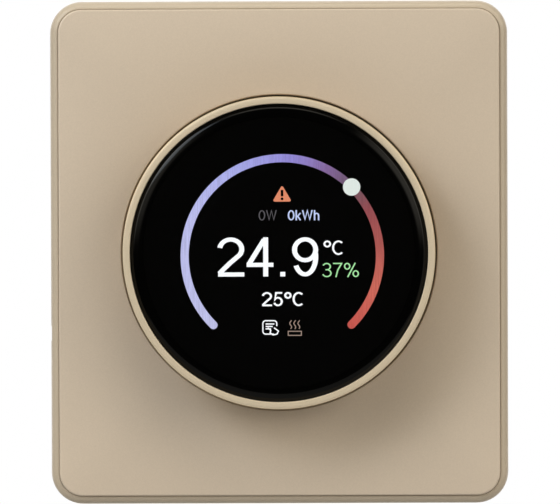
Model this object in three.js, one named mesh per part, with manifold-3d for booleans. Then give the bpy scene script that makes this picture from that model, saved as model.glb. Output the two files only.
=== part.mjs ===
// Wall thermostat with a rotary, pressable display knob, as an assembly of separate solids.
//
// Units are millimetres. Each piece is drawn in a panel frame, where X is right, Y is up and Z is the
// distance from the wall towards the room. The last group turns that frame so that +Z is up, the front
// faces -Y, and the origin is on the wall plane, midway between the two wall-box screws.

import * as THREE from "three";
import { mergeVertices } from "three/addons/utils/BufferGeometryUtils.js";
import Module from "manifold-3d";

const wasm = await Module();
wasm.setup();

// ---------------------------------------------------------------- driving dimensions

const GAP = 0.1; // between pieces that touch
const OVERLAP = 0.5; // how far joined shapes run into each other
const THROUGH = 1; // how far a cutting shape runs past the face it cuts
const FINE = 48; // sides of the knob's large rounds
const ROUND = 16; // sides of posts, tubes and cans
const SMALL = 8; // sides of screws and their holes
const CORNER = 3; // segments in a rounded corner
const PLATE_CORNER = 4; // the same, on the outer plate
const SIDES = [-1, 1];

// The front plate: a frame with a rounded, sloping rim around a flat panel with a round opening.
const PLATE = { width: 86, height: 94.5, corner: 6 };
const RIM = { width: 1.4, top: 9.4, start: 7.6 }; // start is where the side begins to curve in
const SURROUND = { back: 0.3, wall: 1.6 };
const PANEL = { back: 8, front: 10, inset: RIM.width + 0.2, edge: 0.3, opening: 29.7 };
const LEDGE = { bottom: 6.6, top: 7.9, reach: 4 };
const EDGE_VENT = { width: 1.4, depth: 4, back: 2.6, front: 5.2, count: 6, pitch: 4 };
const PRY_NOTCH = { width: 9, depth: 4, front: 1.3, x: 24 };
const SCALLOP = { radius: 25, depth: 0.18, y: -15 };
const STAKE = { x: 34.5, y: 39, radius: 1.5, hole: 1.7, length: 2 };

// The knob: a ring that turns, and a display carrier that presses.
const KNOB = { radius: 28.7, lipRadius: 27.35, lipBack: 19.75, bore: 27.8, front: 21.5, back: 9 };
const GLASS = { radius: 27.2, back: 19.9, front: 21.4, bevelWidth: 2.2, bevelDepth: 0.7 };
const CARRIER = { radius: 27.65, front: 19.6, back: 14.9, seat: 16.3, lcdBore: 25.9, step: 1.2 };
const LCD = { radius: 25.7, front: 19.5, step: 0.7 };
const FLEX = { width: 11, thick: 0.3, y: -19.4, bend: 1.5, low: 6.9, end: -15.3, slot: [13, 1.6] };
const SPRING = { radius: 3.9, wire: 0.28, turns: 4, bottom: 7.9, top: 14.8 };

// The gear pair that turns the encoder, and the switch that the knob presses.
const GEAR = { module: 1, ringTeeth: 45, pinionTeeth: 15, pressure: 20, backlash: 0.12 };
const RING_GEAR = { back: 11.7, front: 14.2, radius: 27.65 };
const GLIDE_WASHER = { inner: 23.8, outer: 26.9 };
const PINION = { back: 10.9, front: 14.1, bore: 3.15 };
const ENCODER_ANGLE = 30; // degrees, where the pinion sits around the knob
const ENCODER = { side: 12, top: 10.3, bushing: 10.8, neck: 4.4, bore: 3.2, shaft: 3, seat: 7.2 };
const SWITCH = { side: 6, top: 9.5, plunger: 1.75, plungerFoot: 8.6, plungerTop: 11.1, well: 7.8 };

// The front unit's frame and board.
const GUIDE = { ring: 16.5, angles: [90, 210, 330], post: 2, bore: 2.2, tube: 3.2, top: 12.2, hole: 3.7 };
const HOUSING = { back: 6.5, front: 7.8, flangeBack: 5.4, flangeInset: 1.9 };
const SNAP_ARM = { x: 38.1, y: 24, thick: 1.3, length: 7, back: 1.5, barb: 0.6, barbTop: 2.7 };
const BOARD = { back: 4.4, front: 6, width: 66, height: 74, drop: -3, corner: 2 };
const BOARD_SCREW = { reach: 29, boss: 2.4, bossTop: 7, thread: 1.1, threadTop: 7.5, hole: 1.2 };
const RADIO = { x: -12, y: 5.5, width: 15.6, height: 12, board: 0.9, can: [13.4, 10.6], canX: -12.6, top: 3 };
const DISPLAY_SOCKET = { y: -13, width: 15, height: 4.2, top: 2, mouth: [11.6, 3], mouthY: -15 };
const SENSOR = { x: 12, y: -38, side: 4, depth: 1.1 };
const CELL = { x: -13, y: 8, radius: 6, edge: 0.4, back: 3, front: 0.6, clip: [14, 5, 0.8] };
const BUZZER = { x: 11, y: -3, radius: 4.7, edge: 0.4, depth: 2.6, hole: 0.9 };

// The part that stays on the wall.
const YOKE = { width: 80, height: 88, thick: 1.2, window: 53.4, corner: 4 };
const BOX = { side: 52, wall: 1.6, back: -27, corner: 3 };
const FLANGE = { width: 73.6, height: 80, back: 1.3, front: 3.1, corner: 3 };
const FIXING = { spacing: 60.3, slotWidth: 4.2, slotLength: 9, headHole: 5.2, spareY: 36 };
const SPARE_SLOT = { width: 13, height: 7, corner: 3 };
const YOKE_SCREW = { reach: 31, hole: 1.35, well: 2.6, seat: 1.95 };
const SIDE_VENT = { width: 1.5, depth: 4, back: -22, front: -11, count: 5, pitch: 3.6, y: 9.2 };
const BACK_VENT = { width: 1.5, height: 9, count: 6, pitch: 3.6, y: 14 };

const POWER_BOARD = { back: -7.6, front: -6, side: 47.4, corner: 1.5 };
const POWER_SCREW = { reach: 20.3, boss: 2.9, thread: 1.25, threadBack: -16, hole: 1.35 };
const POWER_COVER = { back: -0.6, front: 0.9, corner: 1.2, post: 2.4, postLift: 1.5 };
const COVER_VENT = { width: 1.5, height: 12, count: 5, pitch: 4, y: 10 };
const TERMINAL = { poles: 6, pitch: 7.5, y: -19.4, top: -13.8, back: -26.6, front: -14.9 };
const TERMINAL_WELL = { radius: 2.7, depth: 2.6, screwDepth: 2.3, bore: 1.7, boreDepth: 9 };
const TERMINAL_ENTRY = { width: 3.7, height: 7, back: 3.6, front: 7.3, lift: 3 };
const TERMINAL_BAY = { gap: 0.2, wall: 1.2, pinSlot: 1.6 };
const BUS = { y: -18, pins: 7, pitch: 2.54, pin: 0.64, hole: 0.94, socketTop: 2.4, headerBack: 2.6 };
const BUS_PIN = { back: -3.6, front: 3 };

// Depths of the parts below are measured down from the power board's back.
const RELAY = { x: 8.5, y: 8, width: 19, height: 15.4, depth: 15.2, corner: 0.8 };
const TRANSFORMER = { x: -12.5, y: 6, core: [15, 6], coil: [10.5, 13], base: [13, 13] };
const TRANSFORMER_DEPTH = { core: 13, coreTop: 1.2, coil: 11, base: 3 };
const CAPACITOR = { x: -5, y: -6.5, radius: 5, depth: 13.5, edge: 0.4, grooveFrom: 2, grooveTo: 1.2 };
const VARISTOR = { x: 8, y: -3.4, radius: 4.6, thick: 3.6, depth: 6, legSpread: 2, leg: 0.7 };
const FUSE = { x: 18.2, y: -5.5, width: 8.4, height: 4.2, depth: 8, corner: 1 };

// ---------------------------------------------------------------- solids

function solidOf(geometry) {
  const flat = new THREE.BufferGeometry();
  const source = geometry.index ? geometry.toNonIndexed() : geometry;
  flat.setAttribute("position", source.getAttribute("position"));
  const merged = mergeVertices(flat, 1e-4);
  const triangles = [];
  for (let i = 0; i < merged.index.count; i += 3) {
    const [a, b, c] = [0, 1, 2].map((k) => merged.index.getX(i + k));
    if (a !== b && b !== c && a !== c) triangles.push([a, b, c]);
  }
  const build = (list) =>
    new wasm.Manifold(
      new wasm.Mesh({
        numProp: 3,
        vertProperties: merged.attributes.position.array,
        triVerts: new Uint32Array(list.flat()),
      }),
    );
  const made = build(triangles);
  return made.volume() > 0 ? made : build(triangles.map(([a, b, c]) => [a, c, b]));
}

function geometryOf(solid) {
  const mesh = solid.getMesh();
  const positions = new Float32Array(mesh.numVert * 3);
  for (let i = 0; i < mesh.numVert; i++) {
    positions.set(mesh.vertProperties.subarray(i * mesh.numProp, i * mesh.numProp + 3), i * 3);
  }
  const geometry = new THREE.BufferGeometry();
  geometry.setAttribute("position", new THREE.BufferAttribute(positions, 3));
  geometry.setIndex(new THREE.BufferAttribute(mesh.triVerts, 1));
  geometry.computeVertexNormals();
  return geometry;
}

const join = (first, ...others) => others.reduce((made, next) => made.add(next), first);
const cut = (first, ...others) => others.reduce((made, next) => made.subtract(next), first);
const radians = THREE.MathUtils.degToRad;
const polar = (radius, degrees) => [
  radius * Math.cos(radians(degrees)),
  radius * Math.sin(radians(degrees)),
];

// Positions along a row of equal steps, centred on zero.
const row = (count, pitch) => Array.from({ length: count }, (_, i) => (i - (count - 1) / 2) * pitch);

// The four corners of a square or a rectangle, centred on the axis.
const corners = (reachX, reachY = reachX) => [
  [-reachX, reachY],
  [reachX, reachY],
  [-reachX, -reachY],
  [reachX, -reachY],
];

// A rectangle with round corners, centred on x, y.
function roundedRect(width, height, corner, x = 0, y = 0) {
  const shape = new THREE.Shape();
  const [w, h] = [width / 2 - corner, height / 2 - corner];
  shape.absarc(x + w, y + h, corner, 0, Math.PI / 2);
  shape.absarc(x - w, y + h, corner, Math.PI / 2, Math.PI);
  shape.absarc(x - w, y - h, corner, Math.PI, 1.5 * Math.PI);
  shape.absarc(x + w, y - h, corner, 1.5 * Math.PI, 2 * Math.PI);
  shape.closePath();
  return shape;
}

// A flat outline, extruded from z0 to z1.
function slab(shape, z0, z1, corner = CORNER) {
  const options = { depth: z1 - z0, bevelEnabled: false, curveSegments: corner };
  return solidOf(new THREE.ExtrudeGeometry(shape, options).translate(0, 0, z0));
}

const roundedSlab = (width, height, corner, z0, z1, x = 0, y = 0, segments = CORNER) =>
  slab(roundedRect(width, height, corner, x, y), z0, z1, segments);

const block = (width, height, z0, z1, x = 0, y = 0) =>
  solidOf(new THREE.BoxGeometry(width, height, z1 - z0).translate(x, y, (z0 + z1) / 2));

function rod(radius, z0, z1, x = 0, y = 0, sides = ROUND) {
  const cylinder = new THREE.CylinderGeometry(radius, radius, z1 - z0, sides);
  return solidOf(cylinder.rotateX(Math.PI / 2).translate(x, y, (z0 + z1) / 2));
}

// A profile of [radius, z] points, turned about the Z axis. It starts and ends on the axis or closes on
// itself.
function turned(profile, sides = FINE) {
  const points = profile.map(([radius, z]) => new THREE.Vector2(radius, z));
  return solidOf(new THREE.LatheGeometry(points, sides).rotateX(Math.PI / 2));
}

const washerProfile = (inner, outer, z0, z1) => [
  [inner, z0],
  [outer, z0],
  [outer, z1],
  [inner, z1],
  [inner, z0],
];

// A closed profile of [inset, z] points, carried round the edge of a rounded rectangle.
function framed(profile, width, height, corner) {
  const rings = profile.map(([inset, z]) => {
    const outline = roundedRect(width - 2 * inset, height - 2 * inset, Math.max(corner - inset, 0.5));
    return outline.extractPoints(PLATE_CORNER).shape.slice(0, -1).map((p) => [p.x, p.y, z]);
  });
  const count = rings[0].length;
  const positions = [];
  rings.forEach((ring, i) => {
    const next = rings[(i + 1) % rings.length];
    for (let k = 0; k < count; k++) {
      const [a, b, c, d] = [ring[k], ring[(k + 1) % count], next[(k + 1) % count], next[k]];
      positions.push(...a, ...b, ...c, ...a, ...c, ...d);
    }
  });
  const geometry = new THREE.BufferGeometry();
  return solidOf(geometry.setAttribute("position", new THREE.Float32BufferAttribute(positions, 3)));
}

// ---------------------------------------------------------------- gear teeth

const involute = (angle) => Math.tan(angle) - angle;

// The outline of an external gear whose teeth are centred on angle 0 and every pitch after it. An internal
// gear's hollow has the same shape, with its spaces in place of the teeth.
function gearOutline(teeth, addendum, dedendum, extraThickness) {
  const pitchRadius = (GEAR.module * teeth) / 2;
  const pressure = radians(GEAR.pressure);
  const baseRadius = pitchRadius * Math.cos(pressure);
  const pitchThickness = (Math.PI * GEAR.module) / 2 + extraThickness;
  const halfAngle = (radius) => {
    const at = Math.acos(Math.min(1, baseRadius / Math.max(radius, baseRadius)));
    return pitchThickness / (2 * pitchRadius) + involute(pressure) - involute(at);
  };
  const radii = [-dedendum, 0, addendum].map((step) => pitchRadius + step * GEAR.module);
  const points = [];
  for (let tooth = 0; tooth < teeth; tooth++) {
    const centre = (2 * Math.PI * tooth) / teeth;
    const flank = (side) =>
      radii.map((radius) => {
        const angle = centre + side * halfAngle(radius);
        return new THREE.Vector2(radius * Math.cos(angle), radius * Math.sin(angle));
      });
    points.push(...flank(-1), ...flank(1).reverse());
  }
  return points;
}

// ---------------------------------------------------------------- fasteners

const CROSS = { depth: 0.6, width: 0.28, length: 1.1 }; // as shares of a screw head's height and radius

// A pan-head screw along Z with a cross recess. Its head sits at z 0 to headHeight and its shank goes to
// -length.
function screw({ head, headHeight, shank, length }) {
  const body = turned(
    [
      [0, -length],
      [shank, -length],
      [shank, 0],
      [head, 0],
      [head, headHeight],
      [0, headHeight],
    ],
    SMALL,
  );
  const floor = headHeight * (1 - CROSS.depth);
  const arm = (width, height) => block(head * width, head * height, floor, headHeight + THROUGH);
  return cut(body, arm(CROSS.width, CROSS.length), arm(CROSS.length, CROSS.width));
}

// ---------------------------------------------------------------- the part that stays on the wall

const fixingPlaces = SIDES.map((side) => [(side * FIXING.spacing) / 2, 0]);

function mountingYoke() {
  const [z0, z1] = [-THROUGH, YOKE.thick + THROUGH];
  const slot = (width, height, x, y) =>
    roundedSlab(width, height, FIXING.slotWidth / 2 - 0.01, z0, z1, x, y);
  const upright = fixingPlaces.map(([x, y]) => slot(FIXING.slotWidth, FIXING.slotLength, x, y));
  const level = SIDES.map((side) => slot(FIXING.slotLength, FIXING.slotWidth, 0, side * FIXING.spareY));
  const holes = corners(YOKE_SCREW.reach).map(([x, y]) => rod(YOKE_SCREW.hole, z0, z1, x, y, SMALL));
  const sheet = roundedSlab(YOKE.width, YOKE.height, YOKE.corner, 0, YOKE.thick);
  const window = roundedSlab(YOKE.window, YOKE.window, BOX.corner + 0.7, z0, z1);
  return cut(sheet, window, ...upright, ...level, ...holes);
}

const TERMINAL_WIDTH = TERMINAL.poles * TERMINAL.pitch;
const poleX = row(TERMINAL.poles, TERMINAL.pitch);
const powerScrewPlaces = SIDES.map((side) => [side * POWER_SCREW.reach, POWER_SCREW.reach]);

function rearHousing() {
  const half = BOX.side / 2;
  const inner = BOX.side - 2 * BOX.wall;
  const floor = BOX.back + BOX.wall;
  const front = FLANGE.front + THROUGH;
  const shell = join(
    roundedSlab(BOX.side, BOX.side, BOX.corner, BOX.back, FLANGE.front),
    roundedSlab(FLANGE.width, FLANGE.height, FLANGE.corner, FLANGE.back, FLANGE.front),
  );
  const hollow = roundedSlab(inner, inner, BOX.corner - BOX.wall, floor, front);

  // The bay for the terminals is open to the back and to the bottom, and closed to the power board.
  const { gap, wall, pinSlot } = TERMINAL_BAY;
  const bay = (width, top, bottom, back, bayFront) =>
    block(width, top - bottom, back, bayFront, 0, (top + bottom) / 2);
  const bayTop = TERMINAL.top + gap;
  const bayFront = TERMINAL.front + gap;
  const bayWidth = TERMINAL_WIDTH + 2 * gap;
  const walls = bay(bayWidth + 2 * BOX.wall, bayTop + wall, gap - half, BOX.back + gap, bayFront + wall);
  const bayHollow = bay(bayWidth, bayTop, -half - THROUGH, BOX.back - THROUGH, bayFront);
  const pins = block(TERMINAL_WIDTH - 4, pinSlot, bayFront - THROUGH, bayFront + 3, 0, TERMINAL.y);

  const bossFront = POWER_BOARD.back - GAP;
  const { boss, thread, threadBack } = POWER_SCREW;
  const bosses = powerScrewPlaces.map(([x, y]) => rod(boss, floor - gap, bossFront, x, y, SMALL));
  const threads = powerScrewPlaces.map(([x, y]) => rod(thread, threadBack, 0, x, y, SMALL));
  const headHoles = fixingPlaces.map(([x, y]) => rod(FIXING.headHole, 0, front, x, y));
  const spareSlots = SIDES.map((side) =>
    roundedSlab(
      SPARE_SLOT.width, SPARE_SLOT.height, SPARE_SLOT.corner, 0, front, 0, side * FIXING.spareY,
    ),
  );
  const screwWells = corners(YOKE_SCREW.reach).flatMap(([x, y]) => [
    rod(YOKE_SCREW.well, YOKE_SCREW.seat, front, x, y, SMALL),
    rod(YOKE_SCREW.hole, 0, front, x, y, SMALL),
  ]);
  const sideVents = SIDES.flatMap((side) =>
    row(SIDE_VENT.count, SIDE_VENT.pitch).map((y) =>
      block(
        SIDE_VENT.depth, SIDE_VENT.width, SIDE_VENT.back, SIDE_VENT.front,
        side * half, SIDE_VENT.y + y,
      ),
    ),
  );
  const backVents = row(BACK_VENT.count, BACK_VENT.pitch).map((x) =>
    block(BACK_VENT.width, BACK_VENT.height, BOX.back - THROUGH, floor + THROUGH, x, BACK_VENT.y),
  );
  return cut(
    join(cut(shell, hollow), walls, ...bosses),
    bayHollow, pins, ...threads, ...headHoles, ...spareSlots, ...screwWells, ...sideVents, ...backVents,
  );
}

function terminalBlock() {
  const { top, back, front, y } = TERMINAL;
  const bottom = TERMINAL_BAY.gap - BOX.side / 2;
  const { radius, depth, bore, boreDepth } = TERMINAL_WELL;
  const { width, height, lift } = TERMINAL_ENTRY;
  const entryDepth = [back + TERMINAL_ENTRY.back, back + TERMINAL_ENTRY.front];
  const body = block(TERMINAL_WIDTH, top - bottom, back, front, 0, (top + bottom) / 2);
  const wells = poleX.map((x) => rod(radius, back - THROUGH, back + depth, x, y, SMALL));
  const bores = poleX.map((x) => rod(bore, back, back + boreDepth, x, y, SMALL));
  const entries = poleX.map((x) => block(width, height, ...entryDepth, x, bottom + lift));
  const pins = poleX.map((x) => block(1, 0.8, front - OVERLAP, POWER_BOARD.back - GAP, x, y));
  return join(cut(body, ...wells, ...bores, ...entries), ...pins);
}

function powerBoard() {
  const { side, corner, back, front } = POWER_BOARD;
  const board = roundedSlab(side, side, corner, back, front);
  const hole = ([x, y]) => rod(POWER_SCREW.hole, back - THROUGH, front + THROUGH, x, y, SMALL);
  return cut(board, ...powerScrewPlaces.map(hole));
}

// The cover keeps fingers off the mains side. Its posts clamp the power board, the upper two on its screws.
function powerCover() {
  const { back, front, corner, post, postLift } = POWER_COVER;
  const side = BOX.side - 2 * BOX.wall - 2 * GAP;
  const [z0, z1] = [back - THROUGH, front + THROUGH];
  const plate = roundedSlab(side, side, corner, back, front);
  const posts = corners(POWER_SCREW.reach).map(([x, y]) => {
    const foot = POWER_BOARD.front + GAP + (y > 0 ? postLift : 0);
    return rod(post, foot, back + OVERLAP, x, y, SMALL);
  });
  const socketSlot = block(BUS.pins * BUS.pitch + 1.8, 2 * BUS.pitch + 1.2, z0, z1, 0, BUS.y);
  const vents = row(COVER_VENT.count, COVER_VENT.pitch).map((x) =>
    block(COVER_VENT.width, COVER_VENT.height, z0, z1, x, COVER_VENT.y),
  );
  return cut(join(plate, ...posts), socketSlot, ...vents);
}

// Where the parts on the power board's back begin.
const POWER_TOP = POWER_BOARD.back - GAP;

const powerBlock = ({ width, height, corner, depth, x, y }) =>
  roundedSlab(width, height, corner, POWER_TOP - depth, POWER_TOP, x, y);

function transformer() {
  const { x, y, core, coil, base } = TRANSFORMER;
  const depth = TRANSFORMER_DEPTH;
  const coilTop = POWER_TOP - depth.base;
  return join(
    block(...core, POWER_TOP - depth.core, POWER_TOP - depth.coreTop, x, y),
    roundedSlab(...coil, 2.5, POWER_TOP - depth.coil, coilTop, x, y),
    block(...base, coilTop, POWER_TOP, x, y),
  );
}

function bulkCapacitor() {
  const { x, y, radius, depth, edge, grooveFrom, grooveTo } = CAPACITOR;
  const profile = [
    [0, POWER_TOP - depth],
    [radius - edge, POWER_TOP - depth],
    [radius, POWER_TOP - depth + edge],
    [radius, POWER_TOP - grooveFrom],
    [radius - 0.3, POWER_TOP - (grooveFrom + grooveTo) / 2],
    [radius, POWER_TOP - grooveTo],
    [radius, POWER_TOP],
    [0, POWER_TOP],
  ];
  return turned(profile, ROUND).translate([x, y, 0]);
}

function varistor() {
  const { x, y, radius, thick, depth, legSpread, leg } = VARISTOR;
  const disc = new THREE.CylinderGeometry(radius, radius, thick, ROUND).translate(x, y, POWER_TOP - depth);
  const legs = SIDES.map((side) => block(leg, leg, POWER_TOP - depth, POWER_TOP, x + side * legSpread, y));
  return join(solidOf(disc), ...legs);
}

// Pin places of the board-to-board connector, in two rows.
const busPlaces = row(2, BUS.pitch).flatMap((y) => row(BUS.pins, BUS.pitch).map((x) => [x, BUS.y + y]));

function busSocket() {
  const [width, height] = [BUS.pins * BUS.pitch + 1.2, 2 * BUS.pitch + 0.6];
  const { hole, socketTop } = BUS;
  const holes = busPlaces.map(([x, y]) => block(hole, hole, POWER_BOARD.front, socketTop + THROUGH, x, y));
  return cut(block(width, height, POWER_BOARD.front + GAP, socketTop, 0, BUS.y), ...holes);
}

function pinHeader() {
  const body = block(BUS.pins * BUS.pitch, 2 * BUS.pitch, BUS.headerBack, BOARD.back - GAP, 0, BUS.y);
  const pins = busPlaces.map(([x, y]) => block(BUS.pin, BUS.pin, BUS_PIN.back, BUS_PIN.front, x, y));
  return join(body, ...pins);
}

// ---------------------------------------------------------------- the front unit

function surroundFrame() {
  const frame = framed(
    [
      [0.3, SURROUND.back],
      [0, SURROUND.back + 0.4],
      [0, RIM.start],
      [0.18, RIM.start + 0.8],
      [0.62, RIM.start + 1.4],
      [RIM.width - 0.1, RIM.top],
      [RIM.width + 0.1, RIM.top],
      [RIM.width + 0.1, LEDGE.top],
      [LEDGE.reach, LEDGE.top],
      [LEDGE.reach, LEDGE.bottom],
      [SURROUND.wall, LEDGE.bottom],
      [SURROUND.wall, SURROUND.back],
    ],
    PLATE.width, PLATE.height, PLATE.corner,
  );
  const { width, depth, back, front, count, pitch } = EDGE_VENT;
  const vents = SIDES.flatMap((side) =>
    row(count, pitch).map((x) => block(width, depth, back, front, x, (side * PLATE.height) / 2)),
  );
  const pryNotch = block(
    PRY_NOTCH.width, PRY_NOTCH.depth, -THROUGH, PRY_NOTCH.front, PRY_NOTCH.x, -PLATE.height / 2,
  );
  const scallopX = SCALLOP.depth - SCALLOP.radius - PLATE.width / 2;
  const scallop = rod(SCALLOP.radius, -THROUGH, PANEL.front, scallopX, SCALLOP.y, FINE);
  return cut(frame, ...vents, pryNotch, scallop);
}

const stakePlaces = corners(STAKE.x, STAKE.y);

// The flat panel has a small step around its edge and four stakes behind it.
function frontPanel() {
  const { back, front, inset, edge, opening } = PANEL;
  const layer = (less, z0, z1) =>
    roundedSlab(
      PLATE.width - 2 * (inset + less), PLATE.height - 2 * (inset + less),
      PLATE.corner - inset - less, z0, z1,
    );
  const sheet = join(layer(0, back, front - edge), layer(0.2, front - edge - 0.1, front));
  const hole = rod(opening, back - THROUGH, front + THROUGH, 0, 0, FINE);
  const stakes = stakePlaces.map(([x, y]) =>
    rod(STAKE.radius, back - STAKE.length, back + OVERLAP, x, y, SMALL),
  );
  return join(cut(sheet, hole), ...stakes);
}

const guides = GUIDE.angles.map((angle) => polar(GUIDE.ring, angle));
const encoderPlace = polar((GEAR.module * (GEAR.ringTeeth - GEAR.pinionTeeth)) / 2, ENCODER_ANGLE);

function frontHousing() {
  const { back, front, flangeBack, flangeInset } = HOUSING;
  const reach = LEDGE.reach + GAP + 0.1;
  const [width, height] = [PLATE.width - 2 * reach, PLATE.height - 2 * reach];
  const plate = roundedSlab(width, height, 2, back, front);
  const flange = cut(
    roundedSlab(
      PLATE.width - 2 * flangeInset, PLATE.height - 2 * flangeInset, 2 * flangeInset, flangeBack, back,
    ),
    roundedSlab(width - 5, height - 5, 1.5, 0, back + THROUGH),
  );
  const top = GUIDE.top + THROUGH;
  const boardBosses = corners(BOARD_SCREW.reach);
  const tubes = guides.map(([x, y]) => rod(GUIDE.tube, back, GUIDE.top, x, y));
  const bores = guides.map(([x, y]) => rod(GUIDE.bore, 0, top, x, y));
  const bosses = boardBosses.map(([x, y]) =>
    rod(BOARD_SCREW.boss, BOARD.front + GAP, BOARD_SCREW.bossTop, x, y, SMALL),
  );
  const threads = boardBosses.map(([x, y]) => rod(BOARD_SCREW.thread, 0, BOARD_SCREW.threadTop, x, y, SMALL));
  const stakeHoles = stakePlaces.map(([x, y]) => rod(STAKE.hole, 0, top, x, y, SMALL));
  // Openings for the encoder, the switch, the radio and the display's socket.
  const windows = [
    [ENCODER.side + 1.6, ENCODER.side + 1.6, ...encoderPlace],
    [SWITCH.side + 1.6, SWITCH.side + 1.6, 0, 0],
    [RADIO.width + 1.4, RADIO.height + 2, RADIO.x, RADIO.y],
    [DISPLAY_SOCKET.width + 1, 11, 0, -15.5],
  ].map(([wide, high, x, y]) => block(wide, high, 0, top, x, y));
  const arms = corners(SNAP_ARM.x, SNAP_ARM.y).flatMap(([x, y]) => {
    const { thick, length, barb, barbTop } = SNAP_ARM;
    const barbX = x - (Math.sign(x) * (thick + barb)) / 2 + Math.sign(x) * 0.05;
    return [
      block(thick, length, SNAP_ARM.back, back + 0.2, x, y),
      block(barb, length, SNAP_ARM.back, barbTop, barbX, y),
    ];
  });
  return cut(
    join(plate, flange, ...tubes, ...bosses, ...arms),
    ...bores, ...threads, ...stakeHoles, ...windows,
  );
}

function mainBoard() {
  const { width, height, corner, back, front, drop } = BOARD;
  const [z0, z1] = [back - THROUGH, front + THROUGH];
  const board = roundedSlab(width, height, corner, back, front, 0, drop);
  const screwHoles = corners(BOARD_SCREW.reach).map(([x, y]) => rod(BOARD_SCREW.hole, z0, z1, x, y, SMALL));
  const guideHoles = guides.map(([x, y]) => rod(GUIDE.hole, z0, z1, x, y));
  return cut(board, ...screwHoles, ...guideHoles);
}

function radioModule() {
  const { x, y, width, height, board, can, canX, top } = RADIO;
  const base = block(width, height, BOARD.front + GAP, BOARD.front + board, x, y);
  return join(base, roundedSlab(...can, 0.8, BOARD.front + board - 0.1, BOARD.front + top, canX, y));
}

function displaySocket() {
  const { width, height, top, y, mouth, mouthY } = DISPLAY_SOCKET;
  const body = block(width, height, BOARD.front + GAP, BOARD.front + top, 0, y);
  return cut(body, block(...mouth, FLEX.low, FLEX.low + 0.6, 0, mouthY));
}

// Where the parts on the main board's back begin.
const BOARD_TOP = BOARD.back - GAP;

const climateSensor = () =>
  roundedSlab(SENSOR.side, SENSOR.side, 0.3, BOARD_TOP - SENSOR.depth, BOARD_TOP, SENSOR.x, SENSOR.y);

// A round can on the main board's back, from [depth to depth] below it, with a small bevel.
const backCan = (radius, edge, deep, shallow) =>
  turned(
    [
      [0, BOARD_TOP - deep],
      [radius - edge, BOARD_TOP - deep],
      [radius, BOARD_TOP - deep + edge],
      [radius, BOARD_TOP - shallow],
      [0, BOARD_TOP - shallow],
    ],
    ROUND,
  );

function backupCell() {
  const { x, y, radius, edge, back, front, clip } = CELL;
  const [width, height, depth] = clip;
  return join(
    block(width, height, BOARD_TOP - depth, BOARD_TOP, x, y),
    backCan(radius, edge, back, front).translate([x, y, 0]),
  );
}

function buzzer() {
  const { x, y, radius, edge, depth, hole } = BUZZER;
  const soundHole = rod(hole, BOARD_TOP - depth - THROUGH, BOARD_TOP - depth + THROUGH, 0, 0, SMALL);
  return cut(backCan(radius, edge, depth, 0), soundHole).translate([x, y, 0]);
}

// ---------------------------------------------------------------- the encoder and the press switch

const ABOVE = KNOB.front; // a height clear of everything under the knob

function encoderBody() {
  const [x, y] = encoderPlace;
  const { side, top, neck, bushing, bore, seat } = ENCODER;
  const shell = block(side, side, BOARD.front + GAP, top, x, y);
  return cut(join(shell, rod(neck, top - OVERLAP, bushing, x, y)), rod(bore, seat, ABOVE, x, y));
}

// The shaft's flat, as a block to cut away: its face is this far from the shaft's axis.
const shaftFlat = (away, z0) => block(4, 8, z0, ABOVE, away + 2, 0);

// The shaft and the pinion are drawn about the encoder's own axis, one tooth pointing away from the knob.
const encoderShaft = () =>
  cut(rod(ENCODER.shaft, ENCODER.seat + 0.2, PINION.front, 0, 0, ROUND), shaftFlat(1.5, PINION.back - 0.3));

function drivePinion() {
  const outline = new THREE.Shape(gearOutline(GEAR.pinionTeeth, 1, 1.25, -GEAR.backlash / 2));
  const hub = cut(rod(PINION.bore, PINION.back - THROUGH, ABOVE, 0, 0, ROUND), shaftFlat(1.62, 0));
  return cut(slab(outline, PINION.back, PINION.front), hub);
}

const pressSwitch = () =>
  cut(
    block(SWITCH.side, SWITCH.side, BOARD.front + GAP, SWITCH.top),
    rod(SWITCH.plunger + 0.2, SWITCH.well, ABOVE, 0, 0, ROUND),
  );

const switchPlunger = () =>
  turned(
    [
      [0, SWITCH.plungerFoot],
      [SWITCH.plunger, SWITCH.plungerFoot],
      [SWITCH.plunger, SWITCH.plungerTop - 0.3],
      [SWITCH.plunger - 0.3, SWITCH.plungerTop],
      [0, SWITCH.plungerTop],
    ],
    ROUND,
  );

// ---------------------------------------------------------------- the knob's core, which presses

function displayCarrier() {
  const { radius, back, front, seat, lcdBore, step } = CARRIER;
  const cup = turned([
    [0, back],
    [radius - 0.5, back],
    [radius - 0.5, front - step],
    [radius, front - step],
    [radius, front],
    [lcdBore, front],
    [lcdBore, seat],
    [0, seat],
  ]);
  const posts = guides.map(([x, y]) => rod(GUIDE.post, HOUSING.back + GAP, back + OVERLAP, x, y));
  const threads = guides.map(([x, y]) => rod(1.05, 0, GUIDE.top + 0.4, x, y, SMALL));
  const actuator = rod(2.2, SWITCH.plungerTop + 0.15, back + OVERLAP, 0, 0, SMALL);
  const flexSlot = block(...FLEX.slot, 0, ABOVE, 0, FLEX.y);
  return cut(join(cup, ...posts, actuator), flexSlot, ...threads);
}

const lcdModule = () =>
  turned([
    [0, CARRIER.seat + GAP],
    [LCD.radius, CARRIER.seat + GAP],
    [LCD.radius, LCD.front - LCD.step],
    [LCD.radius - 0.6, LCD.front - LCD.step],
    [LCD.radius - 0.6, LCD.front],
    [0, LCD.front],
  ]);

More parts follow.
